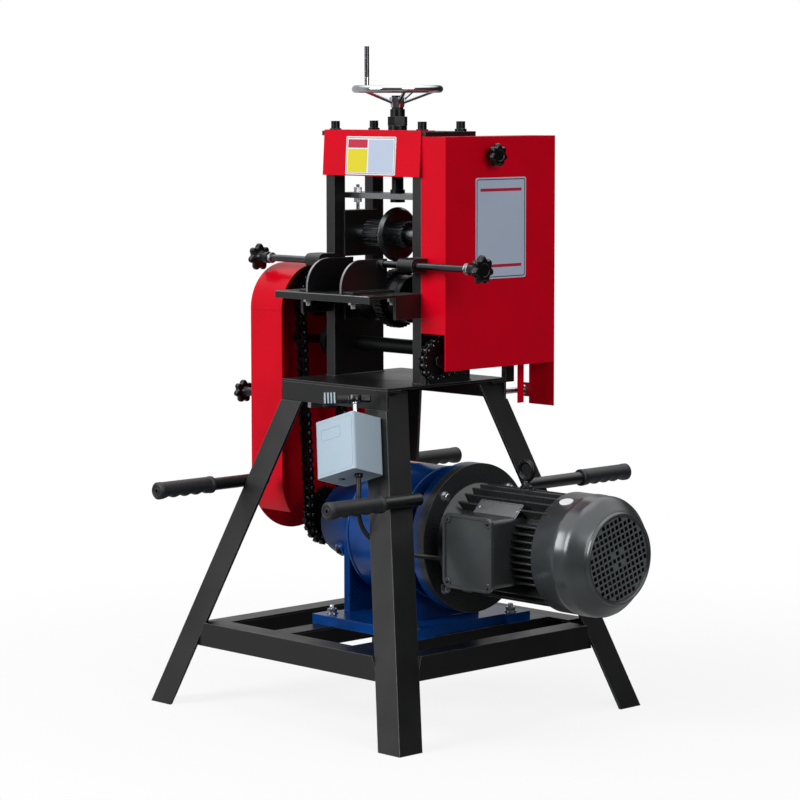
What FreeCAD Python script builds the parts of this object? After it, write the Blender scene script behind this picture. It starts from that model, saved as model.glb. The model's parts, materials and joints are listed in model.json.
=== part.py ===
"""Motor-driven cable stripping machine on a splayed angle-iron stand.

Frame: millimetres, +Z up. Sizes are counted from the floor at the centre of the stand; each
finished sub-part is then moved so that the origin is below the middle of the whole machine.
+X runs along the roller shafts towards the motor fan, +Y is the feed direction
(the cable enters on the -Y side).
"""
import FreeCAD, Part
import math
import os
import re
from types import SimpleNamespace

doc = FreeCAD.newDocument("cable_stripper")
sheet = doc.addObject("Spreadsheet::Sheet", "Sheet")

DRIVING = {
    # stand
    "table_z": 560, "table_x": 256, "table_y": 280, "table_thick": 4,
    "leg_top_x": 119, "leg_top_y": 135,
    "splay_x": 189, "splay_y": 151, "leg_flange": 50, "leg_wall": 5,
    "apron_flange": 32, "apron_wall": 4,
    "rail_top_z": 144, "rail_flange": 40, "rail_wall": 4, "left_rail_drop": 10, "leg_zone": 40,
    "carry_z": 383, "carry_radius": 10.5, "carry_wall": 2.5, "carry_start_y": 126,
    "grip_radius": 14.5, "grip_length": 120, "grip_cap": 6, "weld_gap": 0.1,
    "grip_end_front_left": 368, "grip_end_front_right": 330,
    "grip_end_rear_left": 340, "grip_end_rear_right": 380,
    # head frame
    "head_y": 8, "frame_gap_x": 190, "frame_thick": 20, "frame_depth": 115, "post_depth": 25,
    "slot_bottom_z": 656, "frame_top_z": 969, "top_plate_thick": 8, "top_plate_x": 250,
    "top_plate_back": 3, "top_screw_radius": 7.5, "top_screw_head": 12.5, "washer_thick": 2,
    "washer_radius": 10, "top_screw_shank": 5,
    "tie_z": 614, "tie_radius": 12.5, "tie_collar_radius": 29, "tie_collar_thick": 12,
    "tie_collar_x": 152, "tie_stud_radius": 8,
    # hood and plates
    "hood_x": 234, "hood_height": 76, "hood_wall": 2, "hood_tilt": 3.5, "hood_flange": 30,
    "sign_x": 120, "sign_z": 64, "sign_thick": 1, "sign_drop": 10,
    "notice_y": 120, "notice_z": 168, "notice_low_z": 733, "notice_start_y": 20,
    "nameplate_x": 96, "nameplate_width": 22, "nameplate_turn": 45,
    # rollers
    "lower_z": 695, "roller_space": 108, "shaft_radius": 12.5, "running_gap": 0.05, "slide_gap": 0.3,
    "block_height": 78, "cheek_extra": 5, "cheek_thick": 4,
    "lower_disc_radius": 50, "lower_disc_half": 8, "lower_drum_radius": 40,
    "lower_drum_left_x": 65, "lower_drum_right_x": 42,
    "knurl_radius": 23, "knurl_root": 20.5, "knurl_teeth": 20, "knurl_left_x": 65,
    "knurl_left_end_x": 29, "knurl_right_x": 30, "blade_radius": 46, "blade_half": 6,
    "blade_bevel": 4, "lower_shaft_left": 208, "shaft_right": 150, "upper_shaft_left": 118,
    # crosshead and press screw
    "crosshead_rise": 60, "crosshead_thick": 9.5, "crosshead_y": 54, "crosshead_x": 222,
    "stud_x": 98, "stud_radius": 3, "stud_nut_radius": 7, "nut_radius": 8.5, "nut_thick": 8,
    "screw_radius": 10, "screw_nut_radius": 17, "press_nut_low": 9, "press_nut_hex": 15,
    "press_nut_top": 12.5, "collar_radius": 12.5, "collar_height": 6,
    "wheel_hub_radius": 14, "wheel_hub_z": 1016.3, "wheel_hub_height": 17,
    "wheel_rim_z": 1047, "wheel_rim_radius": 70.5, "wheel_tube": 6.5, "spoke_radius": 3,
    "spoke_count": 5, "crank_turn": 183.5, "crank_pin_radius": 2, "crank_sleeve_radius": 4,
    "crank_sleeve_length": 52, "crank_neck": 20,
    # infeed
    "feed_x": 230, "feed_front": 118, "feed_z": 711, "feed_thick": 5, "feed_lip": 12,
    "guide_x": 39, "guide_thick": 4, "guide_height": 55, "guide_front_y": 162,
    "guide_back_y": 58, "guide_corner": 45, "guide_foot": 26, "guide_stud_y": 146,
    "slot_in": 32, "slot_out": 100, "slot_half": 4.5,
    "rod_y": 75, "rod_z": 758, "rod_radius": 6, "boss_radius": 12, "boss_x": 112.5, "boss_length": 35,
    "guide_boss_radius": 7.5, "guide_boss_length": 12,
    "rod_left_end": 233, "rod_right_end": 254, "knob_radius": 23.5, "knob_thick": 13,
    "knob_hub_radius": 10, "knob_hub_length": 20, "knob_lobes": 7,
    "cover_knob_radius": 20, "cover_knob_thick": 13, "right_knob_hub": 12, "left_knob_hub": 38,
    # chains
    "fine_pitch": 12.7, "coarse_pitch": 15.875, "roller_teeth": 16, "idler_teeth": 14,
    "driver_teeth": 19, "driven_teeth": 15, "fine_chain_x": 137, "coarse_chain_x": 194,
    "fine_tooth_width": 7, "fine_plate_gap": 3.85, "fine_plate_thick": 3, "fine_chain_height": 11.8,
    "coarse_tooth_width": 8.8, "coarse_plate_gap": 4.8, "coarse_plate_thick": 3.6,
    "coarse_chain_height": 14.8, "sprocket_bore_hub": 20,
    "front_idler_y": -37, "front_idler_z": 600, "rear_idler_y": 150, "rear_idler_z": 640,
    "idler_bolt_radius": 6,
    # covers
    "cover_x": 172, "cover_wall": 2, "cover_low_z": 585, "cover_front_z": 645, "cover_top_z": 969,
    "cover_back_y": 212, "cover_tail_z": 510, "cover_knob_z": 938, "cover_stud_radius": 5,
    "strip_y": 186, "strip_width": 14, "strip_low_z": 513, "tail_stud_z": 533.5,
    "left_cover_x": 260, "left_cover_depth": 80, "left_cover_front_y": 95, "left_cover_back_y": 105,
    "left_cover_top_z": 747, "left_cover_low_z": 278, "left_corner": 77, "left_rim_low_z": 319,
    "left_knob_y": -74, "left_knob_z": 521,
    # drive
    "drive_y": 20, "drive_z": 303, "gear_base_left": 75, "gear_base_right": 165,
    "gear_base_y": 284, "gear_base_thick": 17, "gear_pad_y": 55, "gear_ring_radius": 113,
    "gear_ring_left": 20, "gear_ring_right": 110, "gear_nose_radius": 62, "gear_nose_left": 140,
    "gear_neck_radius": 90, "gear_wall": 20, "output_radius": 19, "output_seat": 30, "driver_hub": 30, "output_left": 212, "flange_radius": 125,
    "blue_flange_left": 148, "blue_flange_right": 163, "motor_flange_right": 177,
    "flange_bolt_circle": 107.5, "base_bolt_radius": 6,
    "motor_core_radius": 74, "motor_fin_radius": 93, "motor_body_right": 400, "fin_thick": 3,
    "fin_step": 12, "fin_free_angle": 42, "shield_right": 195, "fan_cover_radius": 98, "fan_cover_left": 392,
    "fan_cover_right": 497, "fan_cover_wall": 2, "fan_cover_taper": 27, "fan_cover_end": 77, "grille_radius": 72,
    "vent_radius": 5, "fan_radius": 80, "fan_left": 418, "fan_width": 30, "rotor_radius": 12,
    "box_left": 240, "box_right": 340, "box_seat": 20, "box_low_z": 249, "box_high_z": 361, "box_front_y": 112,
    "lid_thick": 7, "lid_lip": 5, "gland_radius": 9, "gland_length": 16, "gland_y": 98,
    "gland_z": 285, "plug_x": 314, "eye_x": 290, "eye_radius": 15, "eye_wire": 4, "eye_neck": 10,
    # switch
    "switch_z": 515, "switch_inset": 10, "switch_wide": 88, "switch_deep": 68, "switch_tall": 97,
    "switch_wall": 2.5, "switch_round": 7, "lever_reach": 52, "lever_tail": 26, "lever_turn": 225,
    "lever_shift": 17, "lever_hub_radius": 12, "lever_hub_height": 12, "lever_shaft_radius": 4,
    "lever_lift": 27, "lever_end_wide": 18, "lever_end_tall": 22, "lever_end_long": 22,
    "cable_radius": 4, "cable_exit_x": 35,
    "cable_drop": 30, "cable_in": 20,
    "bend_x_1": 136, "bend_y_1": 214, "bend_z_1": 356, "bend_x_2": 139, "bend_y_2": 196, "bend_z_2": 322,
    "bend_x_3": 160, "bend_y_3": 162, "bend_z_3": 300, "bend_x_4": 180, "bend_y_4": 118, "bend_z_4": 288,
}

DERIVED = {
    "upper_z": "lower_z + roller_space",
    "crosshead_z": "upper_z + crosshead_rise",
    "leg_top_z": "table_z - table_thick - apron_wall",
    "table_low_z": "table_z - table_thick",
    "rail_mid_z": "rail_top_z - rail_flange / 2",
    "rail_x": "leg_top_x + splay_x * (leg_top_z - rail_mid_z) / leg_top_z",
    "rail_y": "leg_top_y + splay_y * (leg_top_z - rail_mid_z) / leg_top_z",
    "rail_low_z": "rail_top_z - rail_flange",
    "leg_x_at_carry": "leg_top_x + splay_x * (leg_top_z - carry_z) / leg_top_z",
    "carry_x": "leg_x_at_carry + carry_radius * sqrt(1 + pow(splay_x / leg_top_z; 2)) + weld_gap",
    "frame_in_x": "frame_gap_x / 2",
    "frame_out_x": "frame_gap_x / 2 + frame_thick",
    "frame_front_y": "head_y - frame_depth / 2",
    "frame_back_y": "head_y + frame_depth / 2",
    "slot_y": "frame_depth - 2 * post_depth",
    "top_z": "frame_top_z + top_plate_thick",
    "post_pitch_y": "frame_depth - post_depth",
    "lower_disc_top": "lower_z + lower_disc_radius",
    "gear_base_low_y": "drive_y - gear_base_y / 2",
    "gear_base_top_z": "rail_top_z + gear_base_thick",
    "feed_front_y": "frame_front_y - feed_front",
    "bearer_left_x": "0 - gear_base_left + 5",
    "bearer_right_x": "gear_base_right - 5",
}


def fill_sheet():
    """Write every driving size and every derived size into the sheet."""
    for row, (alias, value) in enumerate(DRIVING.items(), start=1):
        sheet.set(f"A{row}", str(value))
        sheet.setAlias(f"A{row}", alias)
    for row, (alias, formula) in enumerate(DERIVED.items(), start=1):
        sheet.set(f"B{row}", "=" + formula)
        sheet.setAlias(f"B{row}", alias)
    doc.recompute()


def set_origin(x, y):
    """Write where the row's origin lies, counted from the centre of the stand."""
    for cell, alias, value in (("C1", "origin_x", x), ("C2", "origin_y", y)):
        sheet.set(cell, str(value))
        sheet.setAlias(cell, alias)
    doc.recompute()


fill_sheet()
set_origin(0, 0)
ALIASES = list(DRIVING) + list(DERIVED) + ["origin_x", "origin_y"]
v = SimpleNamespace(**{alias: float(sheet.get(alias)) for alias in ALIASES})

NODES = []
TURN = {
    "X": FreeCAD.Rotation(FreeCAD.Vector(0, 1, 0), 90),
    "-X": FreeCAD.Rotation(FreeCAD.Vector(0, 1, 0), -90),
    "Y": FreeCAD.Rotation(FreeCAD.Vector(1, 0, 0), -90),
    "-Y": FreeCAD.Rotation(FreeCAD.Vector(1, 0, 0), 90),
    "Z": FreeCAD.Rotation(),
    "-Z": FreeCAD.Rotation(FreeCAD.Vector(1, 0, 0), 180),
}


def bound(text):
    """Turn bare sheet aliases in an expression into references to the sheet."""
    def swap(match):
        word = match.group(0)
        return "Sheet." + word if word in ALIASES else word
    return re.sub(r"[A-Za-z_][A-Za-z_0-9]*", swap, str(text))


def place(obj, at, turn=FreeCAD.Rotation()):
    """Bind an object's base point to three expressions and turn it."""
    obj.Placement = FreeCAD.Placement(FreeCAD.Vector(), turn)
    for axis, expression in zip("xyz", at):
        obj.setExpression(f"Placement.Base.{axis}", bound(expression))
    return obj


def box(size, at):
    """Part box from three size expressions and its low corner."""
    obj = doc.addObject("Part::Box", "Box")
    for prop, expression in zip(("Length", "Width", "Height"), size):
        obj.setExpression(prop, bound(expression))
    return place(obj, at)


def rod(axis, radius, length, at):
    """Part cylinder that starts at a point and runs along an axis."""
    obj = doc.addObject("Part::Cylinder", "Cylinder")
    obj.setExpression("Radius", bound(radius))
    obj.setExpression("Height", bound(length))
    return place(obj, at, TURN[axis])


def cone(axis, radius_a, radius_b, length, at):
    """Part cone that starts at a point and runs along an axis."""
    obj = doc.addObject("Part::Cone", "Cone")
    obj.setExpression("Radius1", bound(radius_a))
    obj.setExpression("Radius2", bound(radius_b))
    obj.setExpression("Height", bound(length))
    return place(obj, at, TURN[axis])


def hexagon(axis, radius, length, at):
    """Hexagonal prism, radius to its corners, along an axis."""
    obj = doc.addObject("Part::Prism", "Prism")
    obj.Polygon = 6
    obj.setExpression("Circumradius", bound(radius))
    obj.setExpression("Height", bound(length))
    return place(obj, at, TURN[axis])


def fuse(*parts):
    """Union of several objects."""
    obj = doc.addObject("Part::MultiFuse", "Fuse")
    obj.Shapes = list(parts)
    return obj


def cut(base, *tools):
    """Base less every tool."""
    obj = doc.addObject("Part::Cut", "Cut")
    obj.Base = base
    obj.Tool = tools[0] if len(tools) == 1 else fuse(*tools)
    return obj


def group(*parts):
    """Several separate solids in one object."""
    obj = doc.addObject("Part::Compound", "Compound")
    obj.Links = list(parts)
    return obj


def raw(shape):
    """Feature that holds a shape built with Part's own functions."""
    obj = doc.addObject("Part::Feature", "Feature")
    obj.Shape = shape
    return obj


def node(label, obj):
    """Name a finished sub-part, move it from the stand's centre to the row's origin and keep it."""
    held = place(group(obj), ("-origin_x", "-origin_y", "0"))
    held.Label = label
    NODES.append(held)
    return held


def vec(x, y, z):
    """Short form of a vector."""
    return FreeCAD.Vector(x, y, z)


def plate_yz(wire_or_face, x, thick):
    """Extrude a face drawn in the Y-Z plane at height x along +X."""
    face = wire_or_face if isinstance(wire_or_face, Part.Face) else Part.Face(wire_or_face)
    face.translate(vec(x, 0, 0))
    return face.extrude(vec(thick, 0, 0))


# ---------------------------------------------------------------- stand

def make_table():
    """Flat table plate and the two angle aprons under its front and back edges."""
    plate = box(("table_x", "table_y", "table_thick"), ("-table_x/2", "-table_y/2", "table_low_z"))
    node("table_top", plate)
    aprons = []
    for side in (-1, 1):
        low = "-table_y/2" if side < 0 else "table_y/2 - apron_wall"
        shelf = "-table_y/2" if side < 0 else "table_y/2 - apron_flange"
        web = box(("table_x", "apron_wall", "apron_flange"),
                  ("-table_x/2", low, "table_low_z - apron_flange"))
        top = box(("table_x", "apron_flange", "apron_wall"),
                  ("-table_x/2", shelf, "table_low_z - apron_wall"))
        aprons.append(fuse(web, top))
    node("table_aprons", group(*aprons))


def slanted(sx, sy, outline):
    """Section swept along a leg, its points counted inwards from the leg's outer corner."""
    top = vec(sx * v.leg_top_x, sy * v.leg_top_y, v.leg_top_z)
    foot = vec(sx * (v.leg_top_x + v.splay_x), sy * (v.leg_top_y + v.splay_y), 0)
    points = [foot + vec(-sx * x, -sy * y, 0) for x, y in outline]
    return Part.Face(Part.makePolygon(points)).extrude(top - foot)


def leg_shape(sx, sy):
    """Angle-iron leg, cut flat at the floor and at the apron, leaning outwards."""
    a, w = v.leg_flange, v.leg_wall
    leg = slanted(sx, sy, [(0, 0), (a, 0), (a, w), (w, w), (w, a), (0, a), (0, 0)])
    reach = v.table_x + v.splay_x
    outside = Part.makeBox(2 * reach, reach, v.table_z, vec(-reach, 0, v.table_low_z - v.apron_flange))
    outside.translate(vec(0, v.table_y / 2 - v.apron_wall, 0))
    if sy < 0:
        outside = outside.mirror(vec(0, 0, 0), vec(0, 1, 0))
    return leg.cut(outside)


def make_legs():
    """Four splayed legs."""
    legs = [raw(leg_shape(sx, sy)) for sx in (-1, 1) for sy in (-1, 1)]
    node("legs", group(*legs))


def make_rails():
    """Four rails that butt against the edges of the legs, and two bearers under the gearbox."""
    long_y = "2*(rail_y - rail_wall)"
    pieces = []
    for side in (-1, 1):
        web_y = "-rail_y" if side < 0 else "rail_y - rail_wall"
        shelf_y = "-rail_y" if side < 0 else "rail_y - rail_flange"
        web = box(("2*rail_x", "rail_wall", "rail_flange"), ("-rail_x", web_y, "rail_low_z"))
        shelf = box(("2*(rail_x - rail_flange)", "rail_flange", "rail_wall"),
                    ("rail_flange - rail_x", shelf_y, "rail_top_z - rail_wall"))
        pieces.append(fuse(web, shelf))
    for web_x, shelf_x, drop, run, start in (
            ("-rail_x", "-rail_x", "left_rail_drop", long_y, "rail_wall - rail_y"),
            ("rail_x - rail_wall", "rail_x - rail_flange", "0", long_y, "rail_wall - rail_y"),
            ("bearer_left_x", "bearer_left_x", "0", long_y, "rail_wall - rail_y"),
            ("bearer_right_x - rail_wall", "bearer_right_x - rail_flange", "0", long_y, "rail_wall - rail_y")):
        web = box(("rail_wall", run, "rail_flange - rail_wall"), (web_x, start, f"rail_low_z - {drop}"))
        shelf = box(("rail_flange", "2*(rail_y - rail_flange)", "rail_wall"),
                    (shelf_x, "rail_flange - rail_y", f"rail_top_z - rail_wall - {drop}"))
        pieces.append(fuse(web, shelf))
    frame = fuse(*pieces)
    a, out = v.leg_flange, v.leg_zone
    zones = [raw(slanted(sx, sy, [(-out, -out), (a, -out), (a, a), (-out, a), (-out, -out)]))
             for sx in (-1, 1) for sy in (-1, 1)]
    node("base_rails", cut(frame, *zones))


def make_carry_handles():
    """Four tubes welded outside the legs and the rubber grips on their ends."""
    bars, grips = [], []
    for sx, sy, end in ((-1, -1, "grip_end_front_left"), (1, -1, "grip_end_front_right"),
                        (-1, 1, "grip_end_rear_left"), (1, 1, "grip_end_rear_right")):
        x = f"{sx}*carry_x"
        axis = "Y" if sy > 0 else "-Y"
        length = f"{end} - grip_cap - carry_start_y"
        start = (x, f"{sy}*carry_start_y", "carry_z")
        bars.append(cut(rod(axis, "carry_radius", length, start),
                        rod(axis, "carry_radius - carry_wall", length, start)))
        grip_at = (x, f"{sy}*({end} - grip_length)", "carry_z")
        grips.append(cut(rod(axis, "grip_radius", "grip_length", grip_at),
                         rod(axis, "carry_radius", "grip_length - grip_cap", grip_at)))
    node("carry_bars", group(*bars))
    node("carry_grips", group(*grips))


# ---------------------------------------------------------------- head frame

def make_side_frames():
    """Two upright frames, each with an open slot for its bearing blocks and a guide-rod boss."""
    for label, low_x, sign in (("side_frame_left", "-frame_out_x", -1), ("side_frame_right", "frame_in_x", 1)):
        wall = box(("frame_thick", "frame_depth", "frame_top_z - table_z"), (low_x, "frame_front_y", "table_z"))
        slot = box(("frame_thick", "slot_y", "frame_top_z - slot_bottom_z"),
                   (low_x, "frame_front_y + post_depth", "slot_bottom_z"))
        tie = rod("X", "tie_radius", "frame_thick", (low_x, "head_y", "tie_z"))
        upright = cut(wall, slot, tie)
        arm = box(("boss_length", "rod_y + frame_front_y", "2*boss_radius"),
                  (f"{sign}*boss_x - boss_length/2", "-rod_y", "rod_z - boss_radius"))
        boss = rod("X", "boss_radius", "boss_length", (f"{sign}*boss_x - boss_length/2", "-rod_y", "rod_z"))
        bore = rod("X", "rod_radius + running_gap", "boss_length",
                   (f"{sign}*boss_x - boss_length/2", "-rod_y", "rod_z"))
        node(label, cut(fuse(upright, arm, boss), bore))


def make_top():
    """Top plate with its four socket screws and the fixed press nut."""
    plate = box(("top_plate_x", "frame_depth + top_plate_back", "top_plate_thick"),
                ("-top_plate_x/2", "frame_front_y", "frame_top_z"))
    bore = rod("Z", "screw_radius + running_gap", "top_plate_thick", ("0", "head_y", "frame_top_z"))
    screws, holes = [], []
    for sx in (-1, 1):
        for sy in (-1, 1):
            x = f"{sx}*(frame_in_x + frame_thick/2)"
            y = f"head_y + {sy}*post_pitch_y/2"
            seat = "top_z + hood_wall"
            washer = rod("Z", "washer_radius", "washer_thick", (x, y, seat))
            head = rod("Z", "top_screw_radius", "top_screw_head", (x, y, seat + " + washer_thick"))
            socket = hexagon("Z", "top_screw_radius/2", "top_screw_head/2",
                             (x, y, seat + " + washer_thick + top_screw_head/2"))
            shank = rod("Z", "top_screw_shank", "top_plate_thick + hood_wall", (x, y, "frame_top_z"))
            screws.append(fuse(washer, cut(head, socket), shank))
            holes.append(rod("Z", "top_screw_shank", "top_plate_thick", (x, y, "frame_top_z")))
    shims = []
    for sx in (-1, 1):
        shims.append(rod("Z", "washer_radius", "hood_wall",
                         (f"{sx}*(frame_in_x + frame_thick/2)", "head_y + post_pitch_y/2", "top_z")))
    node("top_plate", cut(plate, bore, *holes))
    back_left, back_right = fuse(screws[1], shims[0]), fuse(screws[3], shims[1])
    node("top_screws", group(screws[0], back_left, screws[2], back_right))
    low = rod("Z", "screw_radius + 6", "press_nut_low", ("0", "head_y", "top_z"))
    middle = hexagon("Z", "screw_nut_radius", "press_nut_hex", ("0", "head_y", "top_z + press_nut_low"))
    top = rod("Z", "screw_radius + 2.5", "press_nut_top", ("0", "head_y", "top_z + press_nut_low + press_nut_hex"))
    through = rod("Z", "screw_radius + running_gap", "press_nut_low + press_nut_hex + press_nut_top",
                  ("0", "head_y", "top_z"))
    node("press_nut", cut(fuse(low, middle, top), through))


def make_tie_shaft():
    """Lower tie shaft, with a collar and a stud on its left end that carries the chain cover."""
    bar = rod("X", "tie_radius", "tie_collar_x + frame_out_x", ("-tie_collar_x", "head_y", "tie_z"))
    collar = rod("-X", "tie_collar_radius", "tie_collar_thick", ("-tie_collar_x", "head_y", "tie_z"))
    stud = rod("-X", "tie_stud_radius", "left_cover_x - tie_collar_x", ("-tie_collar_x", "head_y", "tie_z"))
    nut = hexagon("-X", "tie_stud_radius + 5", "nut_thick", ("-left_cover_x", "head_y", "tie_z"))
    node("tie_shaft", fuse(bar, collar, stud, nut))


def hood_turn():
    """Lean of the hood: its lower edge stands further out than its upper edge."""
    return FreeCAD.Rotation(vec(1, 0, 0), -v.hood_tilt)


def make_hood():
    """Folded front hood with a flange under the front screws, and its bare sign plate."""
    apron = doc.addObject("Part::Box", "Box")
    apron.setExpression("Length", bound("hood_x"))
    apron.setExpression("Width", bound("hood_wall"))
    apron.setExpression("Height", bound("hood_height"))
    apron.Placement = FreeCAD.Placement(vec(0, 0, 0), FreeCAD.Rotation())
    apron.setExpression("Placement.Base.x", bound("-hood_x/2"))
    apron.setExpression("Placement.Base.y", bound("-hood_wall"))
    apron.setExpression("Placement.Base.z", bound("-hood_height"))
    sign = box(("sign_x", "sign_thick", "sign_z"),
               ("-sign_x/2", "-hood_wall - sign_thick", "-sign_drop - sign_z"))
    flange = box(("hood_x", "hood_flange + hood_wall", "hood_wall"),
                 ("-hood_x/2", "frame_front_y - hood_wall", "top_z"))
    holes = [rod("Z", "top_screw_shank", "hood_wall",
                 (f"{sx}*(frame_in_x + frame_thick/2)", "head_y - post_pitch_y/2", "top_z")) for sx in (-1, 1)]
    leaning = group(apron)
    leaning.Placement = FreeCAD.Placement(vec(0, v.frame_front_y, v.top_z + v.hood_wall / 2), hood_turn())
    node("front_hood", cut(fuse(leaning, flange), *holes))
    sign_leaning = group(sign)
    sign_leaning.Placement = FreeCAD.Placement(vec(0, v.frame_front_y, v.top_z + v.hood_wall / 2), hood_turn())
    notice = box(("sign_thick", "notice_y", "notice_z"), ("cover_x", "notice_start_y", "notice_low_z"))
    tag = Part.makeBox(v.nameplate_x, v.nameplate_width, v.sign_thick,
                       vec(v.eye_x - v.nameplate_x / 2, -v.nameplate_width / 2, v.motor_fin_radius))
    tag.rotate(vec(0, 0, 0), vec(1, 0, 0), v.nameplate_turn)
    tag.translate(vec(0, v.drive_y, v.drive_z))
    node("blank_plates", group(sign_leaning, notice, raw(tag)))


# ---------------------------------------------------------------- rollers

def bearing_block(sign, height_z, side_gap):
    """Bearing block in a frame slot, with a cheek that laps the frame's inner face."""
    low_x = "frame_in_x" if sign > 0 else "-frame_out_x"
    body = box(("frame_thick", f"slot_y - 2*{side_gap}", "block_height"),
               (low_x, f"head_y - slot_y/2 + {side_gap}", f"{height_z} - block_height/2"))
    cheek_x = "frame_in_x - slide_gap - cheek_thick" if sign > 0 else "slide_gap - frame_in_x"
    cheek = box(("cheek_thick", "slot_y + 2*cheek_extra", "block_height"),
                (cheek_x, "head_y - slot_y/2 - cheek_extra", f"{height_z} - block_height/2"))
    link_x = "frame_in_x - slide_gap" if sign > 0 else "-frame_in_x"
    link = box(("slide_gap", f"slot_y - 2*{side_gap}", "block_height"),
               (link_x, f"head_y - slot_y/2 + {side_gap}", f"{height_z} - block_height/2"))
    bore_x = "frame_in_x - slide_gap - cheek_thick" if sign > 0 else "-frame_out_x"
    bore = rod("X", "shaft_radius + running_gap", "frame_thick + slide_gap + cheek_thick",
               (bore_x, "head_y", height_z))
    return cut(fuse(body, cheek, link), bore)


def toothed_disc(radius, root, count, width, x, y, z):
    """Disc with straight ridges along its rim, its axis along X."""
    points = []
    for index in range(count):
        start = 2 * math.pi * index / count
        step = 2 * math.pi / count
        for part, reach in ((0.0, root), (0.30, root), (0.45, radius), (0.85, radius)):
            angle = start + part * step
            points.append(vec(0, reach * math.cos(angle), reach * math.sin(angle)))
    points.append(points[0])
    disc = plate_yz(Part.makePolygon(points), 0, width)
    disc.translate(vec(x, y, z))
    return disc


def make_lower_rollers():
    """Lower shaft with a grooved drum each side of its ridged feed disc."""
    shaft = rod("X", "shaft_radius", "lower_shaft_left + shaft_right", ("-lower_shaft_left", "head_y", "lower_z"))
    node("lower_shaft", shaft)
    disc = toothed_disc(v.lower_disc_radius, v.lower_disc_radius - 3, 40, 2 * v.lower_disc_half,
                        -v.lower_disc_half, v.head_y, v.lower_z)
    half = v.lower_disc_half
    left_length = v.lower_drum_left_x - half
    right_length = v.lower_drum_right_x - half
    axis = vec(1, 0, 0)
    parts = [disc]
    for start, length in ((-v.lower_drum_left_x, left_length), (half, right_length)):
        groove = length / 4
        waist = v.lower_drum_radius - groove / 2
        at = vec(start, v.head_y, v.lower_z)
        parts.append(Part.makeCylinder(v.lower_drum_radius, groove, at, axis))
        parts.append(Part.makeCone(v.lower_drum_radius, waist, groove, at + axis * groove, axis))
        parts.append(Part.makeCone(waist, v.lower_drum_radius, groove, at + axis * 2 * groove, axis))
        parts.append(Part.makeCylinder(v.lower_drum_radius, groove, at + axis * 3 * groove, axis))
    drum = parts[0].multiFuse(parts[1:])
    hole = Part.makeCylinder(v.shaft_radius, v.lower_drum_left_x + v.lower_drum_right_x,
                             vec(-v.lower_drum_left_x, v.head_y, v.lower_z), axis)
    node("lower_rollers", raw(drum.cut(hole)))


def make_upper_rollers():
    """Upper shaft with two ridged rollers and the slitting disc between them."""
    shaft = rod("X", "shaft_radius", "upper_shaft_left + shaft_right", ("-upper_shaft_left", "head_y", "upper_z"))
    node("upper_shaft", shaft)
    axis = vec(1, 0, 0)
    rollers = []
    for start, end in ((-v.knurl_left_x, -v.knurl_left_end_x), (v.blade_half, v.knurl_right_x)):
        ridged = toothed_disc(v.knurl_radius, v.knurl_root, int(v.knurl_teeth), end - start,
                              start, v.head_y, v.upper_z)
        hole = Part.makeCylinder(v.shaft_radius, end - start, vec(start, v.head_y, v.upper_z), axis)
        rollers.append(raw(ridged.cut(hole)))
    spacer = Part.makeCylinder(v.shaft_radius + 4, v.knurl_left_end_x - v.blade_half,
                               vec(-v.knurl_left_end_x, v.head_y, v.upper_z), axis)
    spacer = spacer.cut(Part.makeCylinder(v.shaft_radius, v.knurl_left_end_x - v.blade_half,
                                          vec(-v.knurl_left_end_x, v.head_y, v.upper_z), axis))
    node("knurled_rollers", group(*rollers, raw(spacer)))
    half, bevel = v.blade_half, v.blade_bevel
    at = vec(-half, v.head_y, v.upper_z)
    core = Part.makeCylinder(v.blade_radius - bevel, 2 * half, at, axis)
    rise = Part.makeCone(v.blade_radius - bevel, v.blade_radius, half - 1, at, axis)
    rim = Part.makeCylinder(v.blade_radius, 2, at + axis * (half - 1), axis)
    fall = Part.makeCone(v.blade_radius, v.blade_radius - bevel, half - 1, at + axis * (half + 1), axis)
    blade = core.multiFuse([rise, rim, fall])
    node("slitting_disc", raw(blade.cut(Part.makeCylinder(v.shaft_radius, 2 * half, at, axis))))


def make_blocks():
    """Fixed lower bearing blocks and sliding upper ones."""
    node("lower_bearing_blocks", group(*[bearing_block(s, "lower_z", "0") for s in (-1, 1)]))
    node("upper_bearing_blocks", group(*[bearing_block(s, "upper_z", "slide_gap") for s in (-1, 1)]))


def make_crosshead():
    """Bar that the screw lifts, and the studs that tie it to the upper blocks."""
    bar = box(("crosshead_x", "crosshead_y", "crosshead_thick"),
              ("-crosshead_x/2", "head_y - crosshead_y/2", "crosshead_z"))
    bore = rod("Z", "screw_radius + running_gap", "crosshead_thick", ("0", "head_y", "crosshead_z"))
    studs, holes = [], []
    for sx in (-1, 1):
        x = f"{sx}*stud_x"
        low = "upper_z + block_height/2"
        stud = rod("Z", "stud_radius", f"crosshead_z + crosshead_thick + 1.6*nut_thick - ({low})", (x, "head_y", low))
        under = hexagon("Z", "stud_nut_radius", "nut_thick", (x, "head_y", "crosshead_z - nut_thick"))
        over = hexagon("Z", "stud_nut_radius", "nut_thick", (x, "head_y", "crosshead_z + crosshead_thick"))
        studs.append(fuse(stud, under, over))
        holes.append(rod("Z", "stud_radius", "crosshead_thick", (x, "head_y", "crosshead_z")))
    node("crosshead", cut(bar, bore, *holes))
    node("crosshead_studs", group(*studs))


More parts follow.
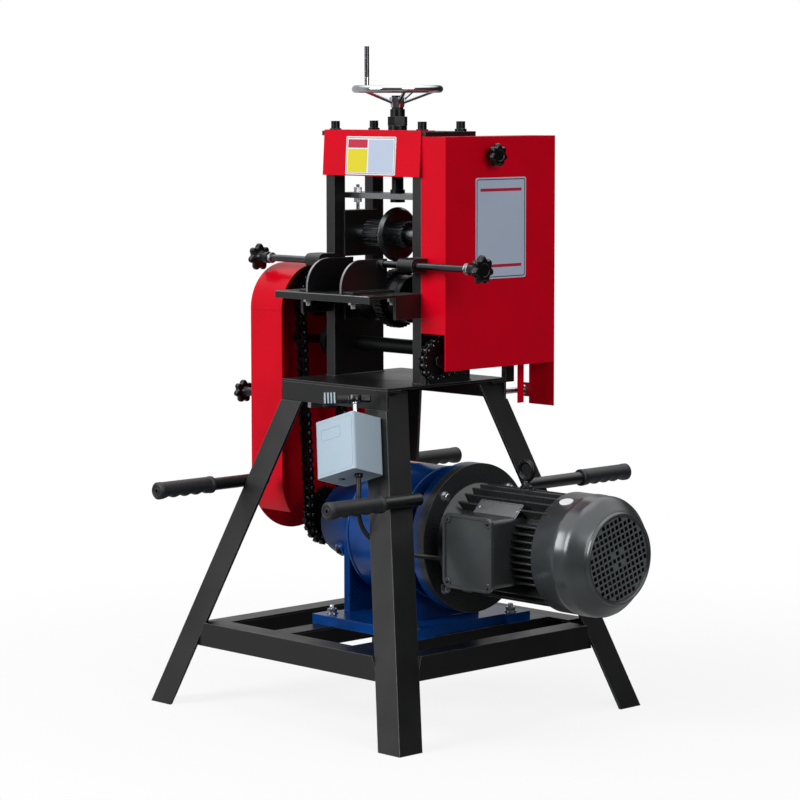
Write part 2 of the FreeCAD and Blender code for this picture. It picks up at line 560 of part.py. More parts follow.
def make_press_screw():
    """Press screw, its dished handwheel and the turning sleeve of the crank."""
    screw = rod("Z", "screw_radius", "wheel_hub_z + wheel_hub_height + 3 - crosshead_z + collar_height",
                ("0", "head_y", "crosshead_z - collar_height"))
    collar = rod("Z", "collar_radius", "collar_height - slide_gap", ("0", "head_y", "crosshead_z - collar_height"))
    ring = rod("Z", "collar_radius", "collar_height - slide_gap",
               ("0", "head_y", "crosshead_z + crosshead_thick + slide_gap"))
    node("press_screw", fuse(screw, collar, ring))
    hub = Part.makeCone(v.wheel_hub_radius - 3, v.wheel_hub_radius, v.wheel_hub_height,
                        vec(0, v.head_y, v.wheel_hub_z))
    rim = Part.makeTorus(v.wheel_rim_radius, v.wheel_tube, vec(0, v.head_y, v.wheel_rim_z))
    parts = [rim]
    hub_mid = v.wheel_hub_z + v.wheel_hub_height / 2
    for index in range(int(v.spoke_count)):
        angle = 2 * math.pi * index / v.spoke_count + math.radians(v.crank_turn)
        outward = vec(math.cos(angle), math.sin(angle), 0)
        start = vec(0, v.head_y, hub_mid) + outward * (v.wheel_hub_radius - 4)
        end = vec(0, v.head_y, v.wheel_rim_z) + outward * v.wheel_rim_radius
        parts.append(Part.makeCylinder(v.spoke_radius, (end - start).Length, start, end - start))
    turn = math.radians(v.crank_turn)
    crank = vec(v.wheel_rim_radius * math.cos(turn), v.head_y + v.wheel_rim_radius * math.sin(turn),
                v.wheel_rim_z)
    neck = Part.makeCylinder(v.crank_sleeve_radius, v.crank_neck, crank)
    pin = Part.makeCylinder(v.crank_pin_radius, v.crank_neck + v.crank_sleeve_length - 2, crank)
    wheel = hub.multiFuse(parts + [neck, pin])
    screw_hole = Part.makeCylinder(v.screw_radius, v.wheel_hub_height + 20, vec(0, v.head_y, v.wheel_hub_z - 5))
    node("handwheel", raw(wheel.cut(screw_hole)))
    sleeve_at = crank + vec(0, 0, v.crank_neck + v.slide_gap)
    sleeve = Part.makeCylinder(v.crank_sleeve_radius, v.crank_sleeve_length, sleeve_at)
    bore = Part.makeCylinder(v.crank_pin_radius + v.running_gap, v.crank_sleeve_length - 1.5, sleeve_at)
    node("crank_sleeve", raw(sleeve.cut(bore)))


# ---------------------------------------------------------------- infeed

def make_feed_plate():
    """Infeed plate in front of the rollers, slotted for the guide studs, on two side gussets."""
    plate = box(("feed_x", "feed_front", "feed_thick"), ("-feed_x/2", "feed_front_y", "feed_z - feed_thick"))
    lip = box(("feed_x", "feed_thick", "feed_lip"),
              ("-feed_x/2", "feed_front_y", "feed_z - feed_lip"))
    slots = []
    for sign in (-1, 1):
        low_x = "slot_in" if sign > 0 else "-slot_out"
        slots.append(box(("slot_out - slot_in", "2*slot_half", "feed_thick"),
                         (low_x, "-guide_stud_y - slot_half", "feed_z - feed_thick")))
    gussets = []
    for sign in (-1, 1):
        low_x = "frame_out_x - feed_thick" if sign > 0 else "-frame_out_x"
        gussets.append(box(("feed_thick", "feed_front/2", "3*feed_lip"),
                           (low_x, "frame_front_y - feed_front/2", "feed_z - feed_thick - 3*feed_lip")))
    node("feed_plate", cut(fuse(plate, lip, *gussets), *slots))


def guide_shape(sign):
    """Upright guide plate with a rounded upper front corner, a foot and a clamp stud."""
    low, high = v.feed_z + v.slide_gap, v.feed_z + v.guide_height
    front, back, r = -v.guide_front_y, -v.guide_back_y, v.guide_corner
    side = math.sqrt(0.5)
    outline = [
        Part.LineSegment(vec(0, back, low), vec(0, front, low)),
        Part.LineSegment(vec(0, front, low), vec(0, front, high - r)),
        Part.Arc(vec(0, front, high - r), vec(0, front + r * (1 - side), high - r * (1 - side)),
                 vec(0, front + r, high)),
        Part.LineSegment(vec(0, front + r, high), vec(0, back, high)),
        Part.LineSegment(vec(0, back, high), vec(0, back, low)),
    ]
    wire = Part.Wire([edge.toShape() for edge in outline])
    inner = sign * v.guide_x
    upright = plate_yz(wire, min(inner, inner + sign * v.guide_thick), v.guide_thick)
    foot_x = min(inner, inner + sign * v.guide_foot)
    foot = Part.makeBox(v.guide_foot, back - front - 2 * v.guide_thick, v.guide_thick,
                        vec(foot_x, front + v.guide_thick, low))
    stud_x = inner + sign * v.guide_foot * 0.6
    drop = v.feed_thick + v.nut_thick + v.slide_gap + 6
    stud = Part.makeCylinder(v.slot_half - 0.5, drop + v.guide_thick,
                             vec(stud_x, -v.guide_stud_y, low - drop))
    nut = Part.makeCylinder(v.nut_radius, v.nut_thick,
                            vec(stud_x, -v.guide_stud_y, v.feed_z - v.feed_thick - v.slide_gap - v.nut_thick))
    reach = v.guide_thick + v.guide_boss_length
    boss = Part.makeCylinder(v.guide_boss_radius, v.guide_boss_length,
                             vec(inner + sign * v.guide_thick, -v.rod_y, v.rod_z), vec(sign, 0, 0))
    bore = Part.makeCylinder(v.rod_radius + v.running_gap, reach - 1,
                             vec(inner + sign * reach, -v.rod_y, v.rod_z), vec(-sign, 0, 0))
    return upright.multiFuse([foot, stud, nut, boss]).cut(bore)


def star_knob(radius, thick, hub_radius, hub_length, bore, at, direction):
    """Lobed hand knob with a round hub on its inner side; the hub starts at the point."""
    lobes = int(v.knob_lobes)
    hub = Part.makeCylinder(hub_radius, hub_length)
    core = Part.makeCylinder(radius * 0.8, thick, vec(0, 0, hub_length))
    lobe_parts = []
    for index in range(lobes):
        angle = 2 * math.pi * index / lobes
        centre = vec(radius * 0.78 * math.cos(angle), radius * 0.78 * math.sin(angle), hub_length)
        lobe_parts.append(Part.makeCylinder(radius * 0.22, thick, centre))
    knob = hub.multiFuse([core] + lobe_parts)
    knob = knob.cut(Part.makeCylinder(bore, hub_length + thick / 2))
    knob.Placement = FreeCAD.Placement(at, FreeCAD.Rotation(vec(0, 0, 1), direction))
    return knob


def make_guides():
    """Two guide plates, the threaded rods that set them, and the knobs on the rods."""
    for side, sign, end in (("left", -1, v.rod_left_end), ("right", 1, v.rod_right_end)):
        node(f"guide_{side}", raw(guide_shape(sign)))
        start = sign * (v.guide_x + 2)
        stick = v.knob_hub_length + v.knob_thick / 2
        threaded = Part.makeCylinder(v.rod_radius, end + stick - abs(start), vec(start, -v.rod_y, v.rod_z),
                                     vec(sign, 0, 0))
        node(f"guide_rod_{side}", raw(threaded))
        knob = star_knob(v.knob_radius, v.knob_thick, v.knob_hub_radius, v.knob_hub_length, v.rod_radius,
                         vec(sign * end, -v.rod_y, v.rod_z), vec(sign, 0, 0))
        node(f"guide_knob_{side}", raw(knob))


# ---------------------------------------------------------------- chains and sprockets

def pitch_radius(pitch, teeth):
    """Pitch circle radius of a chain sprocket."""
    return pitch / (2 * math.sin(math.pi / teeth))


def belt_wire(pulleys, offset):
    """Closed tangent path round pulleys in the Y-Z plane; a negative radius turns clockwise."""
    lines = []
    count = len(pulleys)
    for index in range(count):
        ya, za, ra = pulleys[index]
        yb, zb, rb = pulleys[(index + 1) % count]
        ra, rb = ra + offset, rb + offset
        span = math.hypot(yb - ya, zb - za)
        free = math.sqrt(span * span - (rb - ra) ** 2)
        heading = math.atan2(zb - za, yb - ya) - math.atan2(rb - ra, free)
        ny, nz = -math.sin(heading), math.cos(heading)
        lines.append((vec(0, ya - ra * ny, za - ra * nz), vec(0, yb - rb * ny, zb - rb * nz)))
    edges = []
    for index in range(count):
        start, end = lines[index]
        edges.append(Part.LineSegment(start, end).toShape())
        y, z, r = pulleys[(index + 1) % count]
        nxt = lines[(index + 1) % count][0]
        a0 = math.atan2(end.z - z, end.y - y)
        a1 = math.atan2(nxt.z - z, nxt.y - y)
        sweep = (a1 - a0) % (2 * math.pi) if r > 0 else -((a0 - a1) % (2 * math.pi))
        reach = abs(r + offset)
        middle = vec(0, y + reach * math.cos(a0 + sweep / 2), z + reach * math.sin(a0 + sweep / 2))
        edges.append(Part.Arc(end, middle, nxt).toShape())
    return Part.Wire(edges), lines


def chain_shape(pulleys, pitch, height, gap, thick, x):
    """Two rows of chain plates, joined by pins along the free spans."""
    outer, _ = belt_wire(pulleys, height / 2)
    inner, _ = belt_wire(pulleys, -height / 2)
    wide, narrow = (outer, inner) if Part.Face(outer).Area > Part.Face(inner).Area else (inner, outer)
    band = Part.Face(wide).cut(Part.Face(narrow)).Faces[0]
    rows = [plate_yz(band.copy(), x + gap, thick), plate_yz(band.copy(), x - gap - thick, thick)]
    _, lines = belt_wire(pulleys, 0)
    pins = []
    for start, end in lines:
        span = (end - start).Length
        count = int((span - 4 * pitch) // (2 * pitch))
        for index in range(max(count, 1)):
            at = start + (end - start) * ((index + 1) / (max(count, 1) + 1))
            pins.append(Part.makeCylinder(pitch / 4, 2 * gap, at + vec(x - gap, 0, 0), vec(1, 0, 0)))
    return rows[0].multiFuse([rows[1]] + pins)


def sprocket_shape(pitch, teeth, width, x, y, z, hub_radius, hub_length, bore):
    """Chain sprocket with a hub on its inner side, its axis along X."""
    radius = pitch_radius(pitch, teeth)
    disc = toothed_disc(radius + pitch * 0.22, radius - pitch * 0.28, int(teeth), width, x - width / 2, y, z)
    start = x - width / 2 if hub_length < 0 else x + width / 2
    hub = Part.makeCylinder(hub_radius, abs(hub_length), vec(start, y, z),
                            vec(math.copysign(1, hub_length), 0, 0))
    low = min(x - width / 2, start + min(hub_length, 0))
    hole = Part.makeCylinder(bore, width + abs(hub_length), vec(low, y, z), vec(1, 0, 0))
    return disc.fuse(hub).cut(hole)


def fine_sprocket(teeth, y, z, bore, hub_radius, hub_length):
    """Sprocket of the roller chain on the right side."""
    return sprocket_shape(v.fine_pitch, teeth, v.fine_tooth_width, v.fine_chain_x, y, z,
                          hub_radius, hub_length, bore)


def coarse_sprocket(teeth, y, z, bore, hub_length):
    """Sprocket of the main chain on the left side."""
    return sprocket_shape(v.coarse_pitch, teeth, v.coarse_tooth_width, -v.coarse_chain_x, y, z,
                          v.sprocket_bore_hub + bore / 2, hub_length, bore)


def make_chains():
    """Both chains with their sprockets and the two idlers' brackets."""
    roller = pitch_radius(v.fine_pitch, v.roller_teeth)
    idler = pitch_radius(v.fine_pitch, v.idler_teeth)
    fine = [(v.front_idler_y, v.front_idler_z, -idler), (v.head_y, v.lower_z, roller),
            (v.head_y, v.upper_z, -roller), (v.rear_idler_y, v.rear_idler_z, -idler)]
    node("roller_chain", raw(chain_shape(fine, v.fine_pitch, v.fine_chain_height, v.fine_plate_gap,
                                         v.fine_plate_thick, v.fine_chain_x)))
    driver = pitch_radius(v.coarse_pitch, v.driver_teeth)
    driven = pitch_radius(v.coarse_pitch, v.driven_teeth)
    coarse = [(v.drive_y, v.drive_z, driver), (v.head_y, v.lower_z, driven)]
    node("main_chain", raw(chain_shape(coarse, v.coarse_pitch, v.coarse_chain_height, v.coarse_plate_gap,
                                       v.coarse_plate_thick, -v.coarse_chain_x)))
    hub = v.sprocket_bore_hub
    inward = -(v.fine_chain_x - v.fine_tooth_width / 2 - v.frame_out_x - 1)
    node("lower_chain_sprocket",
         raw(fine_sprocket(v.roller_teeth, v.head_y, v.lower_z, v.shaft_radius, hub, inward)))
    node("upper_chain_sprocket",
         raw(fine_sprocket(v.roller_teeth, v.head_y, v.upper_z, v.shaft_radius, hub, inward)))
    to_block = v.coarse_chain_x - v.coarse_tooth_width / 2 - v.frame_out_x - 1
    node("lower_drive_sprocket",
         raw(coarse_sprocket(v.driven_teeth, v.head_y, v.lower_z, v.shaft_radius, to_block)))
    bore = v.idler_bolt_radius + v.running_gap
    node("front_idler", raw(fine_sprocket(v.idler_teeth, v.front_idler_y, v.front_idler_z, bore, 11, -4)))
    node("rear_idler", raw(fine_sprocket(v.idler_teeth, v.rear_idler_y, v.rear_idler_z, bore, 11, -4)))
    make_output()
    make_idler_brackets()


def make_output():
    """Gearbox output shaft with the driving sprocket on it."""
    shaft = Part.makeCylinder(v.output_radius, v.output_left - v.gear_nose_left + v.output_seat,
                              vec(-v.output_left, v.drive_y, v.drive_z), vec(1, 0, 0))
    sprocket = coarse_sprocket(v.driver_teeth, v.drive_y, v.drive_z, v.output_radius, v.driver_hub)
    node("output_shaft", raw(shaft))
    node("driving_sprocket", raw(sprocket))


def idler_bolt(y, z, start_x):
    """Shoulder bolt that an idler turns on, from its bracket out past the idler."""
    end_x = v.fine_chain_x + v.fine_tooth_width / 2 + 2
    bolt = Part.makeCylinder(v.idler_bolt_radius, end_x - start_x, vec(start_x, y, z), vec(1, 0, 0))
    head = Part.makeCylinder(v.idler_bolt_radius + 4, 6, vec(end_x, y, z), vec(1, 0, 0))
    return bolt.fuse(head)


def make_idler_brackets():
    """Front idler foot on the table edge and rear idler arm off the side frame."""
    low_x = v.frame_out_x + 2
    plate = v.fine_chain_x - v.fine_tooth_width / 2 - 6 - low_x
    foot = Part.makeBox(v.table_x / 2 - low_x, 95, 14, vec(low_x, v.front_idler_y - 8, v.table_z))
    upright = Part.makeBox(plate, 30, v.front_idler_z + 15 - v.table_z,
                           vec(low_x, v.front_idler_y - 15, v.table_z))
    front = foot.multiFuse([upright, idler_bolt(v.front_idler_y, v.front_idler_z, low_x)])
    arm_z = v.rear_idler_z
    arm = Part.makeBox(plate, 20, arm_z + 15 - (v.table_z - 8), vec(low_x, v.rear_idler_y - 10, v.table_z - 8))
    stay = Part.makeBox(plate, v.rear_idler_y - v.frame_back_y + 30, 20,
                        vec(low_x, v.frame_back_y - 25, arm_z - 10))
    pad = Part.makeBox(low_x - v.frame_out_x, 20, 20, vec(v.frame_out_x, v.frame_back_y - 25, arm_z - 10))
    rear = arm.multiFuse([stay, pad, idler_bolt(v.rear_idler_y, v.rear_idler_z, low_x)])
    node("idler_brackets", group(raw(front), raw(rear)))


# ---------------------------------------------------------------- covers

def make_right_cover():
    """Folded sheet cover over the roller chain, open towards the frame, with a rear tail."""
    inner = "frame_out_x"
    width = "cover_x - frame_out_x"
    depth = "cover_back_y - frame_front_y"
    side = box(("cover_wall", depth, "cover_top_z - cover_low_z"),
               ("cover_x - cover_wall", "frame_front_y", "cover_low_z"))
    front = box((width, "cover_wall", "cover_top_z - cover_front_z"), (inner, "frame_front_y", "cover_front_z"))
    back = box((width, "cover_wall", "cover_top_z - cover_tail_z"),
               (inner, "cover_back_y - cover_wall", "cover_tail_z"))
    top = box((width, depth, "cover_wall"), (inner, "frame_front_y", "cover_top_z - cover_wall"))
    strip = box(("cover_wall", "strip_width", "cover_top_z - strip_low_z"),
                (inner + " + cover_wall", "strip_y - strip_width/2", "strip_low_z"))
    hole = rod("X", "cover_stud_radius", "cover_wall",
               ("cover_x - cover_wall", "head_y + post_pitch_y/2", "cover_knob_z"))
    lug = box(("22", "cover_wall", "24"),
              ("frame_out_x - 20", "cover_back_y - cover_wall", "tail_stud_z - 12"))
    lug_hole = rod("Y", "cover_stud_radius", "cover_wall",
                   ("frame_out_x - 9", "cover_back_y - cover_wall", "tail_stud_z"))
    node("right_cover", cut(fuse(side, front, back, top, strip, lug), hole, lug_hole))


def left_outline(shrink):
    """Closed outline of the left cover, moved inwards by a wall."""
    front, back = -v.left_cover_front_y + shrink, v.left_cover_back_y - shrink
    top, low = v.left_cover_top_z - shrink, v.left_cover_low_z + shrink
    corner = v.left_corner - shrink
    half = (back - front) / 2
    middle = (back + front) / 2
    side = math.sqrt(0.5) * corner
    centre_front, centre_back = front + corner, back - corner
    edges = [
        Part.LineSegment(vec(0, front, low + half), vec(0, front, top - corner)),
        Part.Arc(vec(0, front, top - corner), vec(0, centre_front - side, top - corner + side),
                 vec(0, centre_front, top)),
        Part.LineSegment(vec(0, centre_front, top), vec(0, centre_back, top)),
        Part.Arc(vec(0, centre_back, top), vec(0, centre_back + side, top - corner + side),
                 vec(0, back, top - corner)),
        Part.LineSegment(vec(0, back, top - corner), vec(0, back, low + half)),
        Part.Arc(vec(0, back, low + half), vec(0, middle, low), vec(0, front, low + half)),
    ]
    return Part.Wire([edge.toShape() for edge in edges])


def make_left_cover():
    """Pressed chain cover: an outer plate and a rim that stops short of the bottom."""
    wall = v.cover_wall
    plate = plate_yz(left_outline(0), -v.left_cover_x, wall)
    ring = Part.Face(left_outline(0)).cut(Part.Face(left_outline(wall))).Faces[0]
    rim = plate_yz(ring, -v.left_cover_x + wall, v.left_cover_depth - wall)
    low = Part.makeBox(2 * v.left_cover_depth, 2 * v.left_cover_x, v.left_rim_low_z,
                       vec(-v.left_cover_x + wall, -v.left_cover_x, 0))
    shell = plate.fuse(rim.cut(low))
    for y, z, radius in ((v.head_y, v.tie_z, v.tie_stud_radius), (v.left_knob_y, v.left_knob_z, v.cover_stud_radius)):
        shell = shell.cut(Part.makeCylinder(radius, wall, vec(-v.left_cover_x, y, z), vec(1, 0, 0)))
    node("left_cover", raw(shell))


def make_cover_fixings():
    """Studs that hold the covers, and the knobs that clamp them."""
    knob_y = v.head_y + v.post_pitch_y / 2
    thick = v.cover_knob_thick
    right = Part.makeCylinder(v.cover_stud_radius, v.cover_x - v.frame_out_x + v.right_knob_hub,
                              vec(v.frame_out_x, knob_y, v.cover_knob_z), vec(1, 0, 0))
    start = -v.table_x / 2 + 8
    left = Part.makeCylinder(v.cover_stud_radius, v.left_cover_x + start + v.left_knob_hub,
                             vec(start, v.left_knob_y, v.left_knob_z), vec(-1, 0, 0))
    tab = Part.makeBox(8, 28, v.table_low_z - v.left_knob_z + 15,
                       vec(-v.table_x / 2, v.left_knob_y - 8, v.left_knob_z - 15))
    inner_nut = Part.makeCylinder(v.nut_radius, v.nut_thick,
                                  vec(-v.left_cover_x + v.cover_wall, v.left_knob_y, v.left_knob_z), vec(1, 0, 0))
    right_nut = Part.makeCylinder(v.nut_radius, v.nut_thick,
                                  vec(v.cover_x - v.cover_wall, knob_y, v.cover_knob_z), vec(-1, 0, 0))
    tail_y = v.table_y / 2
    tail = Part.makeCylinder(v.cover_stud_radius, v.cover_back_y + 6 - tail_y,
                             vec(v.frame_out_x - 9, tail_y, v.tail_stud_z), vec(0, 1, 0))
    nuts = [Part.makeCylinder(v.nut_radius, v.nut_thick,
                              vec(v.frame_out_x - 9, v.cover_back_y - v.cover_wall - v.nut_thick, v.tail_stud_z),
                              vec(0, 1, 0)),
            Part.makeCylinder(v.nut_radius, 6, vec(v.frame_out_x - 9, v.cover_back_y, v.tail_stud_z), vec(0, 1, 0)),
            Part.makeCylinder(v.nut_radius, v.nut_thick, vec(v.frame_out_x - 9, tail_y, v.tail_stud_z),
                              vec(0, 1, 0))]
    node("cover_studs", group(raw(right.fuse(right_nut)), raw(left.multiFuse([tab, inner_nut])),
                              raw(tail.multiFuse(nuts))))
    gap = v.slide_gap
    bore = v.cover_stud_radius + v.running_gap
    knob = star_knob(v.cover_knob_radius, thick, v.knob_hub_radius - 2, v.right_knob_hub, bore,
                     vec(v.cover_x + gap, knob_y, v.cover_knob_z), vec(1, 0, 0))
    node("cover_knob_right", raw(knob))
    knob = star_knob(v.cover_knob_radius, thick, v.knob_hub_radius - 2, v.left_knob_hub, bore,
                     vec(-v.left_cover_x - gap, v.left_knob_y, v.left_knob_z), vec(-1, 0, 0))
    node("cover_knob_left", raw(knob))


# ---------------------------------------------------------------- drive

def make_gearbox():
    """Foot-mounted reduction gearbox: base, pedestal, round housing, nose and input flange."""
    axis = vec(1, 0, 0)
    centre = vec(0, v.drive_y, v.drive_z)
    ring_length = v.gear_ring_right + v.gear_ring_left
    parts = [
        Part.makeCylinder(v.gear_ring_radius, ring_length, centre - axis * v.gear_ring_left, axis),
        Part.makeCone(v.gear_nose_radius + 10, v.gear_ring_radius - 8, 40, centre - axis * (v.gear_ring_left + 40), axis),
        Part.makeCylinder(v.gear_nose_radius, v.gear_nose_left - v.gear_ring_left - 20,
                          centre - axis * v.gear_nose_left, axis),
        Part.makeCylinder(v.gear_neck_radius, v.blue_flange_left - v.gear_ring_right,
                          centre + axis * v.gear_ring_right, axis),
        Part.makeCylinder(v.flange_radius, v.blue_flange_right - v.blue_flange_left,
                          centre + axis * v.blue_flange_left, axis),
    ]
    base_x = v.gear_base_left + v.gear_base_right
    web = Part.makeBox(base_x - 20, v.gear_base_y - 2 * v.gear_pad_y, v.gear_base_thick,
                       vec(-v.gear_base_left + 10, v.gear_base_low_y + v.gear_pad_y, v.rail_top_z))
    pads = []
    for start in (v.gear_base_low_y, v.gear_base_low_y + v.gear_base_y - v.gear_pad_y):
        pads.append(Part.makeBox(base_x, v.gear_pad_y, v.gear_base_thick, vec(-v.gear_base_left, start, v.rail_top_z)))
    pedestal_y = 2 * v.gear_ring_radius - 60
    pedestal_z = v.drive_z - v.gear_base_top_z - v.gear_wall
    stand = Part.makeBox(14, pedestal_y, pedestal_z,
                         vec(-v.gear_base_left + 16, v.drive_y - pedestal_y / 2, v.gear_base_top_z))
    back = Part.makeBox(14, pedestal_y, pedestal_z,
                        vec(v.gear_ring_right - 24, v.drive_y - pedestal_y / 2, v.gear_base_top_z))
    rib_x = v.gear_ring_right + v.gear_base_left - 26
    rib = Part.makeBox(rib_x, 14, pedestal_z - v.gear_ring_radius / 2,
                       vec(-v.gear_base_left + 16, v.drive_y - 7, v.gear_base_top_z))
    housing = parts[0].multiFuse(parts[1:] + [web] + pads + [stand, back, rib])
    shaft_bore = Part.makeCylinder(v.output_radius + v.running_gap, 31,
                                   centre - axis * (v.gear_nose_left + 1), axis)
    wall = v.gear_wall
    gear_space = Part.makeCylinder(v.gear_ring_radius - wall, ring_length - 2 * wall,
                                   centre - axis * (v.gear_ring_left - wall), axis)
    neck_space = Part.makeCylinder(v.gear_neck_radius - wall, v.blue_flange_left - v.gear_ring_right + wall,
                                   centre + axis * (v.gear_ring_right - wall), axis)
    housing = housing.cut(shaft_bore).cut(gear_space.fuse(neck_space))
    for x, y in base_bolt_places():
        housing = housing.cut(Part.makeCylinder(v.base_bolt_radius, v.gear_base_thick, vec(x, y, v.rail_top_z)))
    for y, z in flange_bolt_places():
        housing = housing.cut(Part.makeCylinder(v.base_bolt_radius, v.blue_flange_right - v.blue_flange_left,
                                                vec(v.blue_flange_left, y, z), axis))
    node("gearbox_housing", raw(housing.removeSplitter()))


def base_bolt_places():
    """Centres of the four hold-down bolts."""
    inset = v.gear_pad_y / 2
    return [(x, y) for x in (-v.gear_base_left + 20, v.gear_base_right - 20)
            for y in (v.gear_base_low_y + inset, v.gear_base_low_y + v.gear_base_y - inset)]


def flange_bolt_places():
    """Centres of the four flange bolts."""
    reach = v.flange_bolt_circle
    return [(v.drive_y + reach * math.cos(a), v.drive_z + reach * math.sin(a))
            for a in (math.radians(45 + 90 * k) for k in range(4))]


def make_drive_bolts():
    """Gearbox hold-down bolts, the bolts through both flanges and the motor's lifting eye."""
    solids = []
    for x, y in base_bolt_places():
        shank = Part.makeCylinder(v.base_bolt_radius, v.gear_base_thick + v.nut_thick + 8,
                                  vec(x, y, v.rail_top_z))
        nut = Part.makeCylinder(v.nut_radius + 1.5, v.nut_thick + 2, vec(x, y, v.gear_base_top_z))
        solids.append(raw(shank.fuse(nut)))
    axis = vec(1, 0, 0)
    for y, z in flange_bolt_places():
        head = Part.makeCylinder(v.nut_radius + 1, 8, vec(v.blue_flange_left - 8, y, z), axis)
        shank = Part.makeCylinder(v.base_bolt_radius, v.motor_flange_right - v.blue_flange_left + 14,
                                  vec(v.blue_flange_left, y, z), axis)
        nut = Part.makeCylinder(v.nut_radius + 1, 9, vec(v.motor_flange_right, y, z), axis)
        solids.append(raw(head.multiFuse([shank, nut])))
    eye_z = v.drive_z + v.motor_fin_radius + 1
    ring_z = eye_z + v.eye_radius + v.eye_wire + v.eye_neck
    ring = Part.makeTorus(v.eye_radius, v.eye_wire, vec(v.eye_x, v.drive_y, ring_z), vec(0, 1, 0))
    collar = Part.makeCylinder(8, v.eye_neck + 2, vec(v.eye_x, v.drive_y, eye_z))
    solids.append(raw(ring.fuse(collar)))
    node("drive_bolts", group(*solids))


def make_motor():
    """Flange motor: flange, finned body, fan cover with its vents, fan and terminal box."""
    axis = vec(1, 0, 0)
    centre = vec(0, v.drive_y, v.drive_z)
    plate = Part.makeCylinder(v.flange_radius, v.motor_flange_right - v.blue_flange_right,
                              centre + axis * v.blue_flange_right, axis)
    shield = Part.makeCone(v.motor_core_radius + 18, v.motor_core_radius, v.shield_right - v.motor_flange_right,
                           centre + axis * v.motor_flange_right, axis)
    for y, z in flange_bolt_places():
        plate = plate.cut(Part.makeCylinder(v.base_bolt_radius, v.motor_flange_right - v.blue_flange_right,
                                            vec(v.blue_flange_right, y, z), axis))
    node("motor_flange", raw(plate.fuse(shield)))
    core = Part.makeCylinder(v.motor_core_radius, v.motor_body_right - v.shield_right,
                             centre + axis * v.shield_right, axis)
    seat = Part.makeCylinder(v.fan_cover_radius - v.fan_cover_wall, 8, centre + axis * (v.motor_body_right - 8), axis)
    fins = []
    length = v.motor_body_right - 8 - v.shield_right
    for index in range(int(360 / v.fin_step)):
        angle = index * v.fin_step
        if abs(angle - 180) <= v.fin_free_angle:
            continue
        fin = Part.makeBox(length, v.fin_thick, v.motor_fin_radius - v.motor_core_radius + 3,
                           vec(v.shield_right, -v.fin_thick / 2, v.motor_core_radius - 3))
        fin.rotate(vec(0, 0, 0), axis, angle - 90)
        fin.translate(centre)
        fins.append(fin)
    pad = Part.makeCylinder(12, v.motor_fin_radius + 1 - v.motor_core_radius + 4,
                            vec(v.eye_x, v.drive_y, v.drive_z + v.motor_core_radius - 4))
    shaft_bore = Part.makeCylinder(v.rotor_radius + v.running_gap, 30, centre + axis * (v.motor_body_right - 30), axis)
    node("motor_body", raw(core.multiFuse([seat, pad] + fins).cut(shaft_bore)))
    make_fan_cover()
    make_terminal_box()


def make_fan_cover():
    """Pressed fan cover with a tapered end and rings of vent holes, and the fan behind it."""
    axis = vec(1, 0, 0)
    centre = vec(0, v.drive_y, v.drive_z)
    radius, end, wall, taper = v.fan_cover_radius, v.fan_cover_end, v.fan_cover_wall, v.fan_cover_taper
    straight = v.fan_cover_right - v.fan_cover_left - taper
    left, shoulder = centre + axis * v.fan_cover_left, centre + axis * (v.fan_cover_right - taper)
    outer = Part.makeCylinder(radius, straight, left, axis).fuse(Part.makeCone(radius, end, taper, shoulder, axis))
    inner = Part.makeCylinder(radius - wall, straight, left, axis)
    inner = inner.fuse(Part.makeCone(radius - wall, end - wall / 2, taper - wall, shoulder, axis))
    shell = outer.cut(inner)
    vents = []
    for ring, count in ((0.35, 8), (0.62, 14), (0.89, 20)):
        for index in range(count):
            angle = 2 * math.pi * index / count
            at = centre + vec(v.fan_cover_right - 3 * wall, v.grille_radius * ring * math.cos(angle),
                              v.grille_radius * ring * math.sin(angle))
            vents.append(Part.makeCylinder(v.vent_radius, 4 * wall, at, axis))
    node("fan_cover", raw(shell.cut(Part.makeCompound(vents))))
    stub = Part.makeCylinder(v.rotor_radius, v.fan_left + v.fan_width - v.motor_body_right + 25,
                             centre + axis * (v.motor_body_right - 25), axis)
    hub = Part.makeCylinder(v.rotor_radius + 16, v.fan_width, centre + axis * v.fan_left, axis)
    blades = []
    for index in range(7):
        blade = Part.makeBox(v.fan_width, 3, v.fan_radius - v.rotor_radius - 12,
                             vec(v.fan_left, -1.5, v.rotor_radius + 12))
        blade.rotate(vec(0, 0, 0), axis, index * 360 / 7)
        blade.translate(centre)
        blades.append(blade)
    node("motor_fan", raw(stub.multiFuse([hub] + blades)))


def make_terminal_box():
    """Terminal box on the motor's infeed side, its lid and two cable glands."""
    axis = vec(1, 0, 0)
    centre = vec(0, v.drive_y, v.drive_z)
    width, height = v.box_right - v.box_left, v.box_high_z - v.box_low_z
    base = Part.makeBox(width, v.box_front_y + v.drive_y - v.motor_core_radius + v.box_seat, height,
                        vec(v.box_left, -v.box_front_y, v.box_low_z))
    core = Part.makeCylinder(v.motor_core_radius, width, centre + axis * v.box_left, axis)
    base = base.cut(core)
    node("terminal_box", raw(max(base.Solids, key=lambda s: s.Volume)))
    lid = Part.makeBox(width + 2 * v.lid_lip, v.lid_thick, height + 2 * v.lid_lip,
                       vec(v.box_left - v.lid_lip, -v.box_front_y - v.lid_thick, v.box_low_z - v.lid_lip))
    node("terminal_lid", raw(lid))
    length = v.gland_length
    side = vec(v.box_left, -v.gland_y, v.gland_z)
    left = Part.makeCylinder(v.gland_radius, length / 2, side, vec(-1, 0, 0))
    cap = Part.makeCone(v.gland_radius + 1, v.gland_radius - 2, length / 2, side - vec(length / 2, 0, 0), vec(-1, 0, 0))
    plug = Part.makeCylinder(v.gland_radius, length / 3, vec(v.plug_x, -v.gland_y, v.box_low_z), vec(0, 0, -1))
    node("cable_glands", group(raw(left.fuse(cap)), raw(plug)))


# ---------------------------------------------------------------- switch and cable

